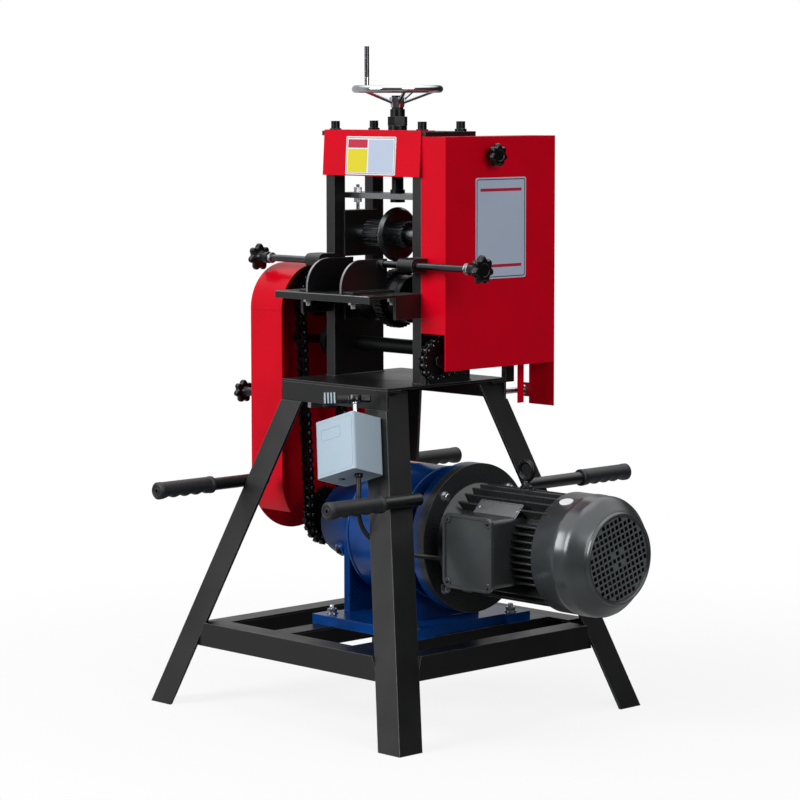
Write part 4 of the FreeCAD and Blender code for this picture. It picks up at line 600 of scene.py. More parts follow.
def settle(mesh: Mesh, name: str, body: str, bevel: float = 0, segments: int = 2, smooth: float = 38,
           replaces: Sequence[str] = (), frame: Matrix = HERE) -> Object:
    """Put a mesh of the stand's millimetres in place on its body, with its edges broken.

    Args:
        mesh: the mesh, in millimetres of the frame.
        name: the piece's name.
        body: the CAD body that carries it.
        bevel: how far its edges are broken; 0 leaves them.
        segments: steps in a broken edge.
        smooth: the angle up to which faces are shaded as one, in degrees.
        replaces: CAD nodes that the piece stands for.
        frame: from the mesh's axes to the stand.

    Returns:
        The piece.
    """
    mesh.transform(Stand.matrix() @ frame)
    piece = show(name, mesh)
    if bevel:
        broken = piece.modifiers.new("broken_edges", "BEVEL")
        broken.width, broken.segments, broken.limit_method = bevel * MM, segments, "ANGLE"
        broken.angle_limit, broken.use_clamp_overlap = math.radians(32), True
        made = evaluated(piece)
        made.name = piece.name
        piece.modifiers.clear()
        piece.data = made
    piece.data.shade_smooth()
    piece.data.set_sharp_from_angle(angle=math.radians(smooth))
    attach(piece, body)
    if replaces:
        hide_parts(*replaces)
    LOG.info("%s on %s: %d faces", name, body, len(piece.data.polygons))
    return piece


# ---------------------------------------------------------------- repeated patterns

class Pattern:
    """A Geometry Nodes tree that repeats a template, with named inputs for its sizes."""

    def __init__(self, name: str, inputs: dict[str, tuple[str, object]]) -> None:
        """Start the tree.

        Args:
            name: the tree's name.
            inputs: socket kind and default of each input, by name; the finish comes after them.
        """
        self.tree = bpy.data.node_groups.new(name, "GeometryNodeTree")
        self.tree.interface.new_socket("Geometry", in_out="INPUT", socket_type="NodeSocketGeometry")
        self.ids: dict[str, str] = {}
        for label, (kind, value) in {**inputs, "Finish": ("Material", None)}.items():
            socket = self.tree.interface.new_socket(label, in_out="INPUT", socket_type=f"NodeSocket{kind}")
            if value is not None:
                socket.default_value = value
            self.ids[label] = socket.identifier
        self.tree.interface.new_socket("Geometry", in_out="OUTPUT", socket_type="NodeSocketGeometry")
        self.source = add(self.tree, "NodeGroupInput").outputs

    def copies(self, label: str, points: Socket, fields: dict[str, Socket]) -> Socket:
        """Set copies of a template on points.

        Args:
            label: the input that names the template.
            points: where the copies stand.
            fields: their rotation, scale or selection.

        Returns:
            The copies.
        """
        item = add(self.tree, "GeometryNodeObjectInfo", {"Object": self.source[label], "As Instance": True})
        return add(self.tree, "GeometryNodeInstanceOnPoints",
                   {"Points": points, "Instance": item.outputs["Geometry"], **fields}).outputs[0]

    def close(self, geometry: Socket) -> Pattern:
        """End the tree in Realize Instances and Set Material."""
        real = add(self.tree, "GeometryNodeRealizeInstances", {"Geometry": geometry}).outputs[0]
        dressed = add(self.tree, "GeometryNodeSetMaterial", {"Geometry": real, "Material": self.source["Finish"]})
        add(self.tree, "NodeGroupOutput", {"Geometry": dressed.outputs[0]})
        return self

    def bake(self, guide: Mesh, finish: Finish, **values: object) -> Mesh:
        """Run the tree on a guide mesh.

        Args:
            guide: the mesh that the tree starts from.
            finish: the pattern's finish.
            **values: the tree's inputs by name, with _ for a space.

        Returns:
            The result as a plain mesh.
        """
        holder = show("guide", guide)
        modifier = holder.modifiers.new("pattern", "NODES")
        modifier.node_group = self.tree
        modifier[self.ids["Finish"]] = finish.material()
        for label, value in values.items():
            modifier[self.ids[label.replace("_", " ")]] = value
        made = evaluated(holder)
        bpy.data.objects.remove(holder)
        made.polygons.foreach_set("material_index", [0] * len(made.polygons))
        made.materials.clear()
        made.materials.append(finish.material())
        return made


def scatter_tree() -> Pattern:
    """Tree that sets a template on each point, turned and sized by the point's own attributes."""
    made = Pattern("set_on_points", {"Template": ("Object", None)})
    turn = add(made.tree, "GeometryNodeInputNamedAttribute", {"Name": "turn"}, data_type="FLOAT_VECTOR")
    euler = add(made.tree, "FunctionNodeEulerToRotation", {"Euler": live(turn)}).outputs[0]
    size = add(made.tree, "GeometryNodeInputNamedAttribute", {"Name": "size"}, data_type="FLOAT")
    return made.close(made.copies("Template", made.source["Geometry"], {"Rotation": euler, "Scale": live(size)}))


def path_tree() -> Pattern:
    """Tree that sets two templates by turns along a closed path in the Y-Z plane, X across."""
    made = Pattern("links_on_path", {"Even": ("Object", None), "Odd": ("Object", None), "Count": ("Int", 40)})
    tree = made.tree
    curve = add(tree, "GeometryNodeMeshToCurve", {"Mesh": made.source["Geometry"]}).outputs[0]
    points = add(tree, "GeometryNodeCurveToPoints", {"Curve": curve, "Count": made.source["Count"]},
                 mode="COUNT").outputs
    turn = add(tree, "FunctionNodeAxesToRotation", {0: points["Tangent"], 1: RIGHT}, primary_axis="Y",
               secondary_axis="X").outputs[0]
    index = add(tree, "GeometryNodeInputIndex").outputs[0]
    odd = add(tree, "ShaderNodeMath", {0: index, 1: 2.0}, operation="MODULO").outputs[0]
    even = add(tree, "ShaderNodeMath", {0: 1.0, 1: odd}, operation="SUBTRACT").outputs[0]
    joined = add(tree, "GeometryNodeJoinGeometry")
    for label, chosen in (("Even", even), ("Odd", odd)):
        copies = made.copies(label, points["Points"], {"Selection": chosen, "Rotation": turn})
        tree.links.new(copies, joined.inputs[0])
    return made.close(joined.outputs[0])


def bead_tree() -> Pattern:
    """Tree that lays overlapping drops of weld metal along the guide's edges."""
    made = Pattern("weld_beads", {"Template": ("Object", None), "Step": ("Float", 3.0)})
    curve = add(made.tree, "GeometryNodeMeshToCurve", {"Mesh": made.source["Geometry"]}).outputs[0]
    even = add(made.tree, "GeometryNodeResampleCurve", {"Curve": curve, "Length": made.source["Step"]},
               mode="LENGTH").outputs[0]
    tangent = add(made.tree, "GeometryNodeInputTangent").outputs[0]
    turn = add(made.tree, "FunctionNodeAlignRotationToVector", {"Vector": tangent}, axis="X").outputs[0]
    random = add(made.tree, "FunctionNodeRandomValue", {2: 0.85, 3: 1.15, "Seed": 7}, data_type="FLOAT")
    return made.close(made.copies("Template", even, {"Rotation": turn, "Scale": live(random)}))


def each(labels: Sequence[str], *rows: tuple) -> list[tuple]:
    """Rows of sums once for every label, with the label in place of each star."""
    return [tuple(t.replace("*", label) if isinstance(t, str) else t for t in row)
            for label in labels for row in rows]


# Sums of the perforated plate: each result's name, its operation and its two terms. A cell has two grid
# lines on each axis, a hole apart, so every second strip is a hole's width; the rest is the bars between.
LATTICE_SUMS = (
    ("lines", "MULTIPLY", "Cells", 2.0),
    ("last cell", "SUBTRACT", "Cells", 1.0),
    ("middle", "DIVIDE", "last cell", 2.0),
    ("rank", "DIVIDE", "index", "lines"),
    ("column", "FLOOR", "rank", 0.0),
    ("row", "MODULO", "index", "lines"),
    *each(("column", "row"),
          ("* half", "DIVIDE", "*", 2.0),
          ("* cell", "FLOOR", "* half", 0.0),
          ("* strip", "MODULO", "*", 2.0),
          ("* side", "SUBTRACT", "* strip", 0.5),
          ("* out", "SUBTRACT", "* cell", "middle"),
          ("* centre", "MULTIPLY", "* out", "Pitch"),
          ("* edge", "MULTIPLY", "* side", "Hole"),
          ("* place", "ADD", "* centre", "* edge")),
    *each(("x", "y"),
          ("* share", "DIVIDE", "*", "Pitch"),
          ("* whole", "ROUND", "* share", 0.0),
          ("* rest", "SUBTRACT", "* share", "* whole"),
          ("* off", "ABSOLUTE", "* rest", 0.0)),
    ("off centre", "MAXIMUM", "x off", "y off"),
    ("in a cell", "LESS_THAN", "off centre", 0.1),
    ("in reach", "LESS_THAN", "far", "Hole Radius"),
    ("cells out", "DIVIDE", "far", "Pitch"),
    ("past ring", "SUBTRACT", "cells out", "Solid Cells"),
    ("off ring", "ABSOLUTE", "past ring", 0.0),
    ("left solid", "LESS_THAN", "off ring", 0.2),
    ("not left", "SUBTRACT", 1.0, "left solid"),
    ("open", "MULTIPLY", "in a cell", "in reach"),
    ("hole", "MULTIPLY", "open", "not left"),
    ("outside", "GREATER_THAN", "far", "Radius"),
    ("gone", "MAXIMUM", "hole", "outside"),
)


def lattice_tree() -> Pattern:
    """Tree that makes a round perforated plate: square holes in rows, a few left solid at its middle."""
    sizes = {"Pitch": 8.0, "Hole": 5.5, "Radius": 73.0, "Hole Radius": 68.0, "Solid Cells": 1.414, "Thickness": 1.5}
    made = Pattern("perforated_plate", {"Cells": ("Int", 19)} | {k: ("Float", v) for k, v in sizes.items()})
    tree, source = made.tree, made.source
    where = add(tree, "GeometryNodeInputPosition").outputs[0]
    x, y, _ = add(tree, "ShaderNodeSeparateXYZ", {0: where}).outputs
    known: dict[object, Socket] = {label: source[label] for label in ("Cells", *sizes)}
    known |= {"x": x, "y": y, "index": add(tree, "GeometryNodeInputIndex").outputs[0],
              "far": add(tree, "ShaderNodeVectorMath", {0: where}, operation="LENGTH").outputs["Value"]}
    for name, operation, first, second in LATTICE_SUMS:
        terms = {0: known.get(first, first), 1: known.get(second, second)}
        known[name] = add(tree, "ShaderNodeMath", terms, operation=operation).outputs[0]
    grid = add(tree, "GeometryNodeMeshGrid", {"Size X": 1.0, "Size Y": 1.0, "Vertices X": known["lines"],
                                              "Vertices Y": known["lines"]}).outputs[0]
    spot = add(tree, "ShaderNodeCombineXYZ", {"X": known["column place"], "Y": known["row place"]}).outputs[0]
    laid = add(tree, "GeometryNodeSetPosition", {"Geometry": grid, "Position": spot}).outputs[0]
    sheet = add(tree, "GeometryNodeDeleteGeometry", {"Geometry": laid, "Selection": known["gone"]},
                domain="FACE").outputs[0]
    rise = add(tree, "ShaderNodeCombineXYZ", {"Z": source["Thickness"]}).outputs[0]
    drawn = add(tree, "GeometryNodeExtrudeMesh", {"Mesh": sheet, "Offset": rise, "Individual": False},
                mode="FACES").outputs[0]
    back = add(tree, "GeometryNodeFlipFaces", {"Mesh": sheet}).outputs[0]
    both = add(tree, "GeometryNodeJoinGeometry")
    tree.links.new(drawn, both.inputs[0])
    tree.links.new(back, both.inputs[0])
    return made.close(add(tree, "GeometryNodeMergeByDistance", {"Geometry": both.outputs[0],
                                                                "Distance": 0.01}).outputs[0])


PATTERNS: dict[str, Pattern] = {}


def make_patterns() -> None:
    """Build each Geometry Nodes tree once."""
    PATTERNS.update(scatter=scatter_tree(), path=path_tree(), bead=bead_tree(), lattice=lattice_tree())


# ---------------------------------------------------------------- fasteners

class Fastener(Enum):
    """Kinds of fastener on the machine."""

    HEX_HEAD = "hex head with a washer"
    NUT = "nut on a stud end"
    PAN = "pan head screw"

    def template(self, radius: float, finish: Finish) -> Object:
        """Make the fastener standing on its seat, about its own Z.

        Args:
            radius: radius across the head's corners, in millimetres.
            finish: its finish.

        Returns:
            The template that a pattern repeats.
        """
        shape = Shape(finish)
        if self is Fastener.PAN:
            profile = ((0, 0), (1, 0), (1, 0.25), (0.75, 0.55), (0.3, 0.68), (0.3, 0.4), (0, 0.4))
            shape.lathe([(wide * radius, high * radius) for wide, high in profile], 20)
            return shape.template(self.name.lower())
        shape.disc(1.25 * radius, 0, 0.18 * radius, 24)
        shape.hexagon(radius, 0.18 * radius, 0.95 * radius)
        top, wide = (1.05 * radius, 0.75 * radius) if self is Fastener.HEX_HEAD else (1.7 * radius, 0.52 * radius)
        shape.lathe([(0, 0.9 * radius), (wide, 0.9 * radius), (wide, top - 0.1 * radius), (0.85 * wide, top),
                     (0, top)], 20)
        return shape.template(self.name.lower())

    def scatter(self, name: str, radius: float, finish: Finish, places: Sequence[Matrix], body: str = "root",
                sizes: Sequence[float] = (), replaces: Sequence[str] = ()) -> None:
        """Set copies of the fastener in the stand.

        Args:
            name: the piece's name.
            radius: radius across the head's corners, in millimetres.
            finish: the copies' finish.
            places: the axes that each copy stands on.
            body: the CAD body that carries them.
            sizes: factor on each copy's size, 1 when left out.
            replaces: CAD nodes that the piece stands for.
        """
        guide = bpy.data.meshes.new("guide_points")
        guide.from_pydata([place.translation for place in places], [], [])
        guide.attributes.new("turn", "FLOAT_VECTOR", "POINT")
        guide.attributes.new("size", "FLOAT", "POINT")
        for i, place in enumerate(places):
            guide.attributes["turn"].data[i].vector = place.to_euler()
            guide.attributes["size"].data[i].value = sizes[i] if sizes else 1.0
        made = PATTERNS["scatter"].bake(guide, finish, Template=self.template(radius, finish))
        settle(made, name, body, replaces=replaces)


# ---------------------------------------------------------------- hand knobs and grips

@dataclass
class StarKnob:
    """Lobed hand knob of moulded resin: a hub, a domed head and a plated nut behind the hub."""

    name: str
    body: str
    node: str
    base: Point
    along: Point
    radius: float
    hub_radius: float
    hub_length: float
    nut: float = 0.0
    thick: float = 13.0
    lobes: int = 7
    lobe_depth: float = 0.24

    def lobed(self, angle: float, radius: float, height: float) -> float:
        """Scallop the head between its lobes.

        Args:
            angle: where round the knob.
            radius: how far out.
            height: how far along.

        Returns:
            Factor on the radius.
        """
        if height < self.hub_length + 0.5:
            return 1.0
        depth = self.lobe_depth * max(0.0, min(1.0, radius / self.radius * 2 - 0.9))
        return 1 - depth * (0.5 - 0.5 * math.cos(self.lobes * angle)) ** 1.4

    def build(self) -> None:
        """Make the knob and its nut."""
        shape = Shape(PHENOLIC, axes(self.base, self.along))
        hub, r, end = self.hub_length, self.radius, self.hub_length + self.thick
        shape.lathe([(0, 0), (self.hub_radius, 0), (self.hub_radius * 0.9, hub * 0.55), (self.hub_radius, hub - 0.5),
                     (r * 0.62, hub + 0.6), (r * 0.94, hub + 1.6), (r, hub + 3.5), (r, end - 4.5),
                     (r * 0.95, end - 2.2), (r * 0.8, end - 0.6), (r * 0.5, end), (r * 0.44, end - 0.9),
                     (r * 0.3, end - 1.1), (0, end - 0.7)], 112, radial=self.lobed)
        if self.nut:
            shape.finish = ZINC
            shape.hexagon(self.nut, -6.5, -0.3)
            shape.disc(self.nut * 1.12, -8, -6.7)
        shape.piece(self.name, self.body, 0.35, smooth=50, replaces=[self.node])


@dataclass
class CarryGrips:
    """Rubber sleeves on the four carrying bars: a collar, four finger grooves underneath and a holed end."""

    ends: tuple[tuple[int, int, float], ...] = ((-1, -1, 368), (1, -1, 330), (-1, 1, 340), (1, 1, 380))
    bar_x: float = 188.05
    height: float = 383.0
    length: float = 120.0
    radius: float = 14.5
    bore: float = 10.5
    groove_start: float = 12.0
    groove_run: float = 96.0
    groove_depth: float = 0.2

    def grooved(self, angle: float, radius: float, height: float) -> float:
        """Press the finger grooves into the underside.

        Args:
            angle: where round the grip, 0 upwards.
            radius: how far out.
            height: how far along.

        Returns:
            Factor on the radius.
        """
        along = height - self.groove_start
        if radius < self.bore + 1 or not 0 < along < self.groove_run:
            return 1.0
        under = max(0.0, -math.cos(angle)) ** 1.3
        return 1 - self.groove_depth * under * (0.5 - 0.5 * math.cos(8 * math.pi * along / self.groove_run))

    def build(self) -> None:
        """Make the four sleeves."""
        r, end = self.radius, self.length
        profile = [(0, end - 6), (self.bore, end - 6), (self.bore, 0), (r - 1, 0), (r, 1.2), (r, 6), (r - 1.4, 7.5)]
        profile += [(r - 0.5, self.groove_start + 2 * i) for i in range(49)]
        profile += [(r, 110), (r, end - 2.2), (r - 1.8, end - 0.3), (r * 0.68, end), (r * 0.64, end - 0.9),
                    (r * 0.42, end - 0.9), (r * 0.38, end), (2.9, end), (2.7, end - 4), (0, end - 4)]
        shape = Shape(RUBBER)
        for side, way, reach in self.ends:
            shape.frame = axes((side * self.bar_x, way * (reach - end), self.height), (0, way, 0))
            shape.lathe(profile, 36, radial=self.grooved)
        shape.piece("carry_grip_sleeves", "root", 0, smooth=55, replaces=["carry_grips"])


# ---------------------------------------------------------------- switch and cable

@dataclass
class Switch:
    """Reversing switch on the front right leg: moulded case, turning lever and the cable under it."""

    wide: float = 88.0
    deep: float = 68.0
    tall: float = 97.0
    inset: float = 10.0
    lever_top: Point = (-37, -34, 27)
    lever_turn: float = 225.0
    top_z: float = 515.0
    leg_top: Point = (119, -135, 552)
    leg_run: Point = (-189, 151, 552)
    gland_x: float = -35.0
    cable: float = 8.0
    cable_knots: tuple[Point, ...] = ((136, -214, 356), (139, -196, 322), (160, -162, 300), (180, -118, 288),
                                      (204, -98, 285), (224, -98, 285))

    def frame(self) -> Matrix:
        """Axes of the switch.

        Returns:
            Axes with X across, Y inwards and Z up along the leg.
        """
        lean = Vector(self.leg_run).normalized()
        inward = Vector(RIGHT).cross(-lean).normalized()
        down = (self.leg_top[2] - self.top_z) / self.leg_run[2]
        turn = Matrix((inward.cross(lean), inward, lean)).transposed().to_4x4()
        return Matrix.Translation([top - run * down for top, run in zip(self.leg_top, self.leg_run)]) @ turn

    def build(self) -> None:
        """Make the case, the lever and the cable."""
        frame = self.frame()
        self.case(frame)
        turn = Matrix.Rotation(math.radians(self.lever_turn), 4, "Z")
        self.lever(frame @ Matrix.Translation(self.lever_top) @ turn)
        self.lead(frame)

    def case(self, frame: Matrix) -> None:
        """Make the moulded case with its set-in bottom, cable holes and bare raised panels.

        Args:
            frame: the switch's axes.
        """
        left, right, front, low = -self.inset - self.wide, -self.inset, -self.deep, -self.tall
        shell, outer = Shape(PALE_ABS, frame), rounded(left, front, right, 0, 6)
        shell.prism(outer, low + 1.6, 0)
        shell.hoop(outer, rounded(left + 2.4, front + 2.4, right - 2.4, -2.4, 4), low, low + 1.6)
        shell.piece("switch_shell", "root", 1.4, segments=3, replaces=["switch_case"])
        holes = Shape(PHENOLIC)
        for x, radius in ((-73, 6.0), (self.gland_x, 7.0)):
            holes.frame = frame @ Matrix.Translation((x, front / 2, 0))
            holes.disc(radius, low + 1.2, low + 1.7)
        holes.lathe([(4.3, low + 1.6), (7.2, low + 1.6), (6.6, low - 4), (4.6, low - 5), (4.3, low - 4)], 28, True)
        holes.piece("switch_cable_holes", "root", 0.2)
        panel = Shape(PALE_ABS, frame @ Matrix.Translation((0, front, 0)) @ INFEED_FACE)
        panel.hoop(rounded(left + 14, -36, left + 58, -17, 2), rounded(left + 14.8, -35.2, left + 57.2, -17.8, 1.6),
                   -0.2, 0.3)
        panel.hoop(rounded(left + 4, low + 5, right - 4, -5, 4),
                   rounded(left + 4.5, low + 5.5, right - 4.5, -5.5, 3.6), -0.2, 0.15)
        panel.piece("switch_panel", "root", 0)

    @staticmethod
    def lever(frame: Matrix) -> None:
        """Make the lever on its plated shaft, with a ribbed paddle at its end whose rib crests carry a painted
        highlight.

        Args:
            frame: axes with Z up the shaft and X along the lever.
        """
        shape = Shape(ZINC, frame)
        shape.lathe([(0, -29.5), (4, -29.5), (4, -3), (5.6, -2.4), (5.6, 0.3), (0, 0.3)], 24)
        shape.finish = PHENOLIC
        shape.lathe([(0, 0), (11.4, 0), (12, 1), (12, 10.6), (10.6, 12), (4.5, 12), (4.2, 11), (0, 11)], 40)
        shape.prism([(-26, -3.5), (-24.5, -5.5), (0, -6), (34, -6), (34, 6), (0, 6), (-24.5, 5.5), (-26, 3.5)], 1, 11)
        shape.prism(rounded(30, -9, 52, 9, 2.5), -5, 17)
        shape.piece("switch_lever_arm", "lever", 0.9, replaces=["switch_lever"])
        # Painted highlight: pale blocks on the black paddle stand for the light caught on its rib crests.
        rib_highlights = Shape(PALE_ABS, frame)
        for x in (32.2 + 5.2 * k for k in range(4)):
            rib_highlights.block((x, 8.8, -3.4), (x + 2.4, 10.0, 15.4))
        rib_highlights.piece("switch_paddle_ribs", "lever", 0.4)

    def lead(self, frame: Matrix) -> None:
        """Lay the sheathed cable from the switch to the terminal box.

        Args:
            frame: the switch's axes.
        """
        start = frame @ Vector((self.gland_x, -self.deep / 2, -self.tall))
        down = -(frame.to_3x3() @ Vector(UP))
        knots = [start, start + down * 30] + [Vector(knot) for knot in self.cable_knots]
        path = [Stand.matrix() @ p for p in eased(knots, 14)]
        curve = bpy.data.curves.new("motor_cable_sheath", "CURVE")
        curve.dimensions, curve.bevel_depth, curve.bevel_resolution = "3D", self.cable / 2 * MM, 6
        curve.use_fill_caps = True
        spline = curve.splines.new("POLY")
        spline.points.add(len(path) - 1)
        for point, place in zip(spline.points, path):
            point.co = (*place, 1.0)
        cable = show("motor_cable_sheath", curve)
        curve.materials.append(VINYL.material())
        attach(cable, "root")
        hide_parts("motor_cable")


# ---------------------------------------------------------------- motor

@dataclass
class Motor:
    """Outside of the motor: fan cover with its lattice, terminal box, side fins and lifting eye."""

    y: float = 20.0
    z: float = 303.0
    cover: float = 98.0
    fin_core: float = 73.0
    fin_tip: float = 93.0
    fin_step: float = 11.5
    fin_half: float = 1.5
    fin_spans: Outline = ((196, 239), (341, 391.5))
    lid: float = 112.0
    screw: float = 3.3
    mouth_x: float = 491.0
    slant: float = 16.6
    eye_x: float = 290.0

    def axis(self, x: float = 0) -> Matrix:
        """Axes with Z along the shaft and X upwards, from a place along it."""
        return axes((x, self.y, self.z), RIGHT)

    def around(self, x: float, angle: float, radius: float) -> Matrix:
        """Axes on the surface of a cylinder about the shaft, with Z outwards; 0 degrees is straight up."""
        out = Vector((0, -math.sin(math.radians(angle)), math.cos(math.radians(angle))))
        return axes(Vector((x, self.y, self.z)) + out * radius, out, RIGHT)

    def build(self) -> None:
        """Make each piece of the motor."""
        self.fan_cover()
        self.grille()
        self.terminal_box()
        self.side_fins()
        self.lifting_eye()

    def fan_cover(self) -> None:
        """Make the pressed cover with a straight skirt, a shallow band, a rounded shoulder and a rolled mouth."""
        shape = Shape(GREY_PRESSED, self.axis())
        shape.lathe([(96, 392), (97.2, 392), (98, 393), (98, 434), (98.7, 436), (98.7, 444), (98, 446), (98, 461),
                     (97.2, 466), (95.2, 470.5), (92, 474.5), (86, 480.7), (79.5, 487.6), (76.4, 490.6),
                     (75.2, 491.2), (74.8, 493.6), (73.8, 495.8), (72.2, 496.9), (70.6, 496.8), (69.4, 495.6),
                     (69, 493.8), (68.6, 492.8), (66.8, 492.8), (66.8, 490.4), (71, 489.4), (75, 488.2),
                     (78, 485.4), (85, 478), (91, 471.2), (94.6, 466), (96, 459)], 128, closed=True)
        shape.piece("fan_cover_shell", "root", 0, smooth=40, replaces=["fan_cover"])
        places = [self.around(398, angle, self.cover - 0.2) for angle in (45, 135, 225, 315)]
        Fastener.PAN.scatter("fan_cover_screws", self.screw, BLACK_STEEL, places)
        seal = Shape(WHITE_PLATE)
        self.decal(seal, 417, 25, self.cover, ellipse(13, 10, 32))
        seal.piece("fan_cover_seal", "root", 0)

    def decal(self, shape: Shape, x: float, angle: float, radius: float, outline: Outline,
              lift: float = 0.35) -> None:
        """Lay a thin label on a cylinder about the shaft.

        Args:
            shape: the mesh that it joins, with the label's finish in hand.
            x: its middle along the shaft.
            angle: its middle round the shaft, in degrees from straight up.
            radius: the cylinder's radius.
            outline: its edge, in millimetres along and around.
            lift: how far it stands off the surface.
        """
        points = []
        for scale, height in ((1.0, -0.1), (0.985, lift), (0.5, lift)):
            for along, round_by in outline:
                turn = math.radians(angle) + round_by * scale / radius
                points.append((x + along * scale, self.y - (radius + height) * math.sin(turn),
                               self.z + (radius + height) * math.cos(turn)))
        n = len(outline)
        loops: list[Sequence[int]] = [(r * n + i, r * n + (i + 1) % n, (r + 1) * n + (i + 1) % n, (r + 1) * n + i)
                                      for r in range(2) for i in range(n)]
        shape.faces(points, loops + [range(2 * n, 3 * n)])

    def grille(self) -> None:
        """Make the pressed lattice in the mouth of the fan cover, its rows at a slant."""
        made = PATTERNS["lattice"].bake(bpy.data.meshes.new("lattice_anchor"), GRILLE_ENAMEL, Cells=17, Pitch=10.0,
                                        Hole=7.2, Radius=69.5, Hole_Radius=65.0, Thickness=1.6)
        turn = Matrix.Rotation(math.radians(self.slant), 4, "Z")
        settle(made, "fan_cover_lattice", "root", frame=self.axis(self.mouth_x) @ turn)

    def terminal_box(self) -> None:
        """Make the cast box on the infeed side, its lid with a raised rim, and the lid's screws."""
        box = Shape(GREY_ENAMEL, INFEED_FACE)
        box.prism(rounded(240, 249, 340, 361, 9), 34, self.lid)
        box.piece("terminal_box_casting", "root", 1.2, replaces=["terminal_box"])
        cover, outer, rim = Shape(GREY_PRESSED, INFEED_FACE), rounded(235, 244, 345, 366, 13), self.lid + 4.4
        cover.prism(outer, self.lid, rim)
        cover.hoop(outer, rounded(240.5, 249.5, 339.5, 360.5, 8.5), rim, self.lid + 6.9)
        corners = [INFEED_FACE @ Matrix.Translation((x, z, 0)) for x in (244.5, 335.5) for z in (253.5, 356.5)]
        for corner in corners:
            cover.frame = corner
            cover.lathe([(0, self.lid + 4.2), (7.5, self.lid + 4.2), (7.0, self.lid + 6.7), (0, self.lid + 6.7)], 28)
        cover.piece("terminal_lid_pressing", "root", 0.7, replaces=["terminal_lid"])
        places = [corner @ Matrix.Translation((0, 0, self.lid + 6.3)) for corner in corners]
        Fastener.PAN.scatter("terminal_lid_screws", self.screw, BLACK_STEEL, places)

    def side_fins(self) -> None:
        """Make the level cooling fins on the infeed side, on both sides of the terminal box."""
        shape = Shape(GREY_ENAMEL)
        for rise in (self.fin_step * k for k in range(-4, 5)):
            root, tip = (self.y - math.sqrt(r * r - rise * rise) for r in (self.fin_core, self.fin_tip))
            low, high = self.z + rise - self.fin_half, self.z + rise + self.fin_half
            for start, end in self.fin_spans:
                shape.block((start, tip, low), (end, root + 3, high))
        shape.piece("motor_side_fins", "root")

    def lifting_eye(self) -> None:
        """Make the forged eye on top of the motor."""
        shape = Shape(BLACK_STEEL, axes((self.eye_x, self.y, 426), (0, 1, 0)))
        shape.lathe(ellipse(4, 4, 16, 15), 56, closed=True)
        shape.frame = axes((self.eye_x, self.y, 0), UP)
        shape.lathe([(0, 396), (10.5, 396), (10.5, 400.5), (8.6, 401.5), (6.4, 404), (5.4, 409), (0, 410)], 32)
        shape.piece("lifting_eye", "root", 0, smooth=50)


# ---------------------------------------------------------------- gearbox

@dataclass
class Gearbox:
    """Trim of the reduction gearbox: flange and foot bolts, oil plug, cast rims and a bare label."""

    motor: Motor = field(default_factory=Motor)
    radius: float = 113.0
    bolt_circle: float = 107.5
    bolt: float = 7.6
    foot_top: float = 161.0
    rims: tuple[float, ...] = (-17.5, 107.5)
    label: tuple[float, float] = (18, -7)

    def build(self) -> None:
        """Make the bolts and the trim."""
        self.bolts()
        self.trim()

    def bolts(self) -> None:
        """Make the bolts through both flanges and the foot's bolts."""
        circle = [(self.motor.y + self.bolt_circle * math.cos(turn), self.motor.z + self.bolt_circle * math.sin(turn))
                  for turn in (math.radians(45 + 90 * k) for k in range(4))]
        heads = [axes((177, y, z), RIGHT) for y, z in circle]
        nuts = [axes((148, y, z), LEFT) for y, z in circle]
        feet = [axes((x, y, self.foot_top), UP) for x in (-55, 145) for y in (-94.5, 134.5)]
        Fastener.HEX_HEAD.scatter("flange_bolt_heads", self.bolt, ZINC, heads, replaces=["drive_bolts"])
        Fastener.NUT.scatter("flange_and_foot_nuts", self.bolt, ZINC, nuts + feet, sizes=[1.0] * 4 + [1.1] * 4)

    def trim(self) -> None:
        """Make the oil plug on its boss, the rims and the bare label."""
        plug = Shape(BLUE_ENAMEL, axes((-72, -58, 265), (-0.25, -0.87, -0.42)))
        plug.lathe([(0, -6), (13, -6), (12, 3.4), (10.8, 4.6), (0, 4.6)], 36)
        plug.finish = BLACK_STEEL
        plug.lathe([(0, 4.4), (7.6, 4.4), (7.6, 6.4), (6.9, 7.2), (0, 7.2)], 32)
        plug.hexagon(4.4, 7.0, 9.4)
        plug.piece("oil_plug", "root", 0.5)
        rims, low, high = Shape(BLUE_ENAMEL, self.motor.axis()), self.radius - 2, self.radius + 1.6
        for x in self.rims:
            rims.lathe([(low, x - 3), (high, x - 2), (high, x + 2), (low, x + 3)], 128, closed=True)
        rims.piece("gearbox_rims", "root", smooth=45)
        label = Shape(ORANGE_PRINT)
        self.motor.decal(label, *self.label, self.radius, rounded(-20, -17, 20, 17, 2))
        label.finish = WHITE_PLATE
        self.motor.decal(label, *self.label, self.radius, rounded(-16, 2, 16, 13, 1), 0.55)
        label.piece("gearbox_label", "root", 0)


# ---------------------------------------------------------------- plates

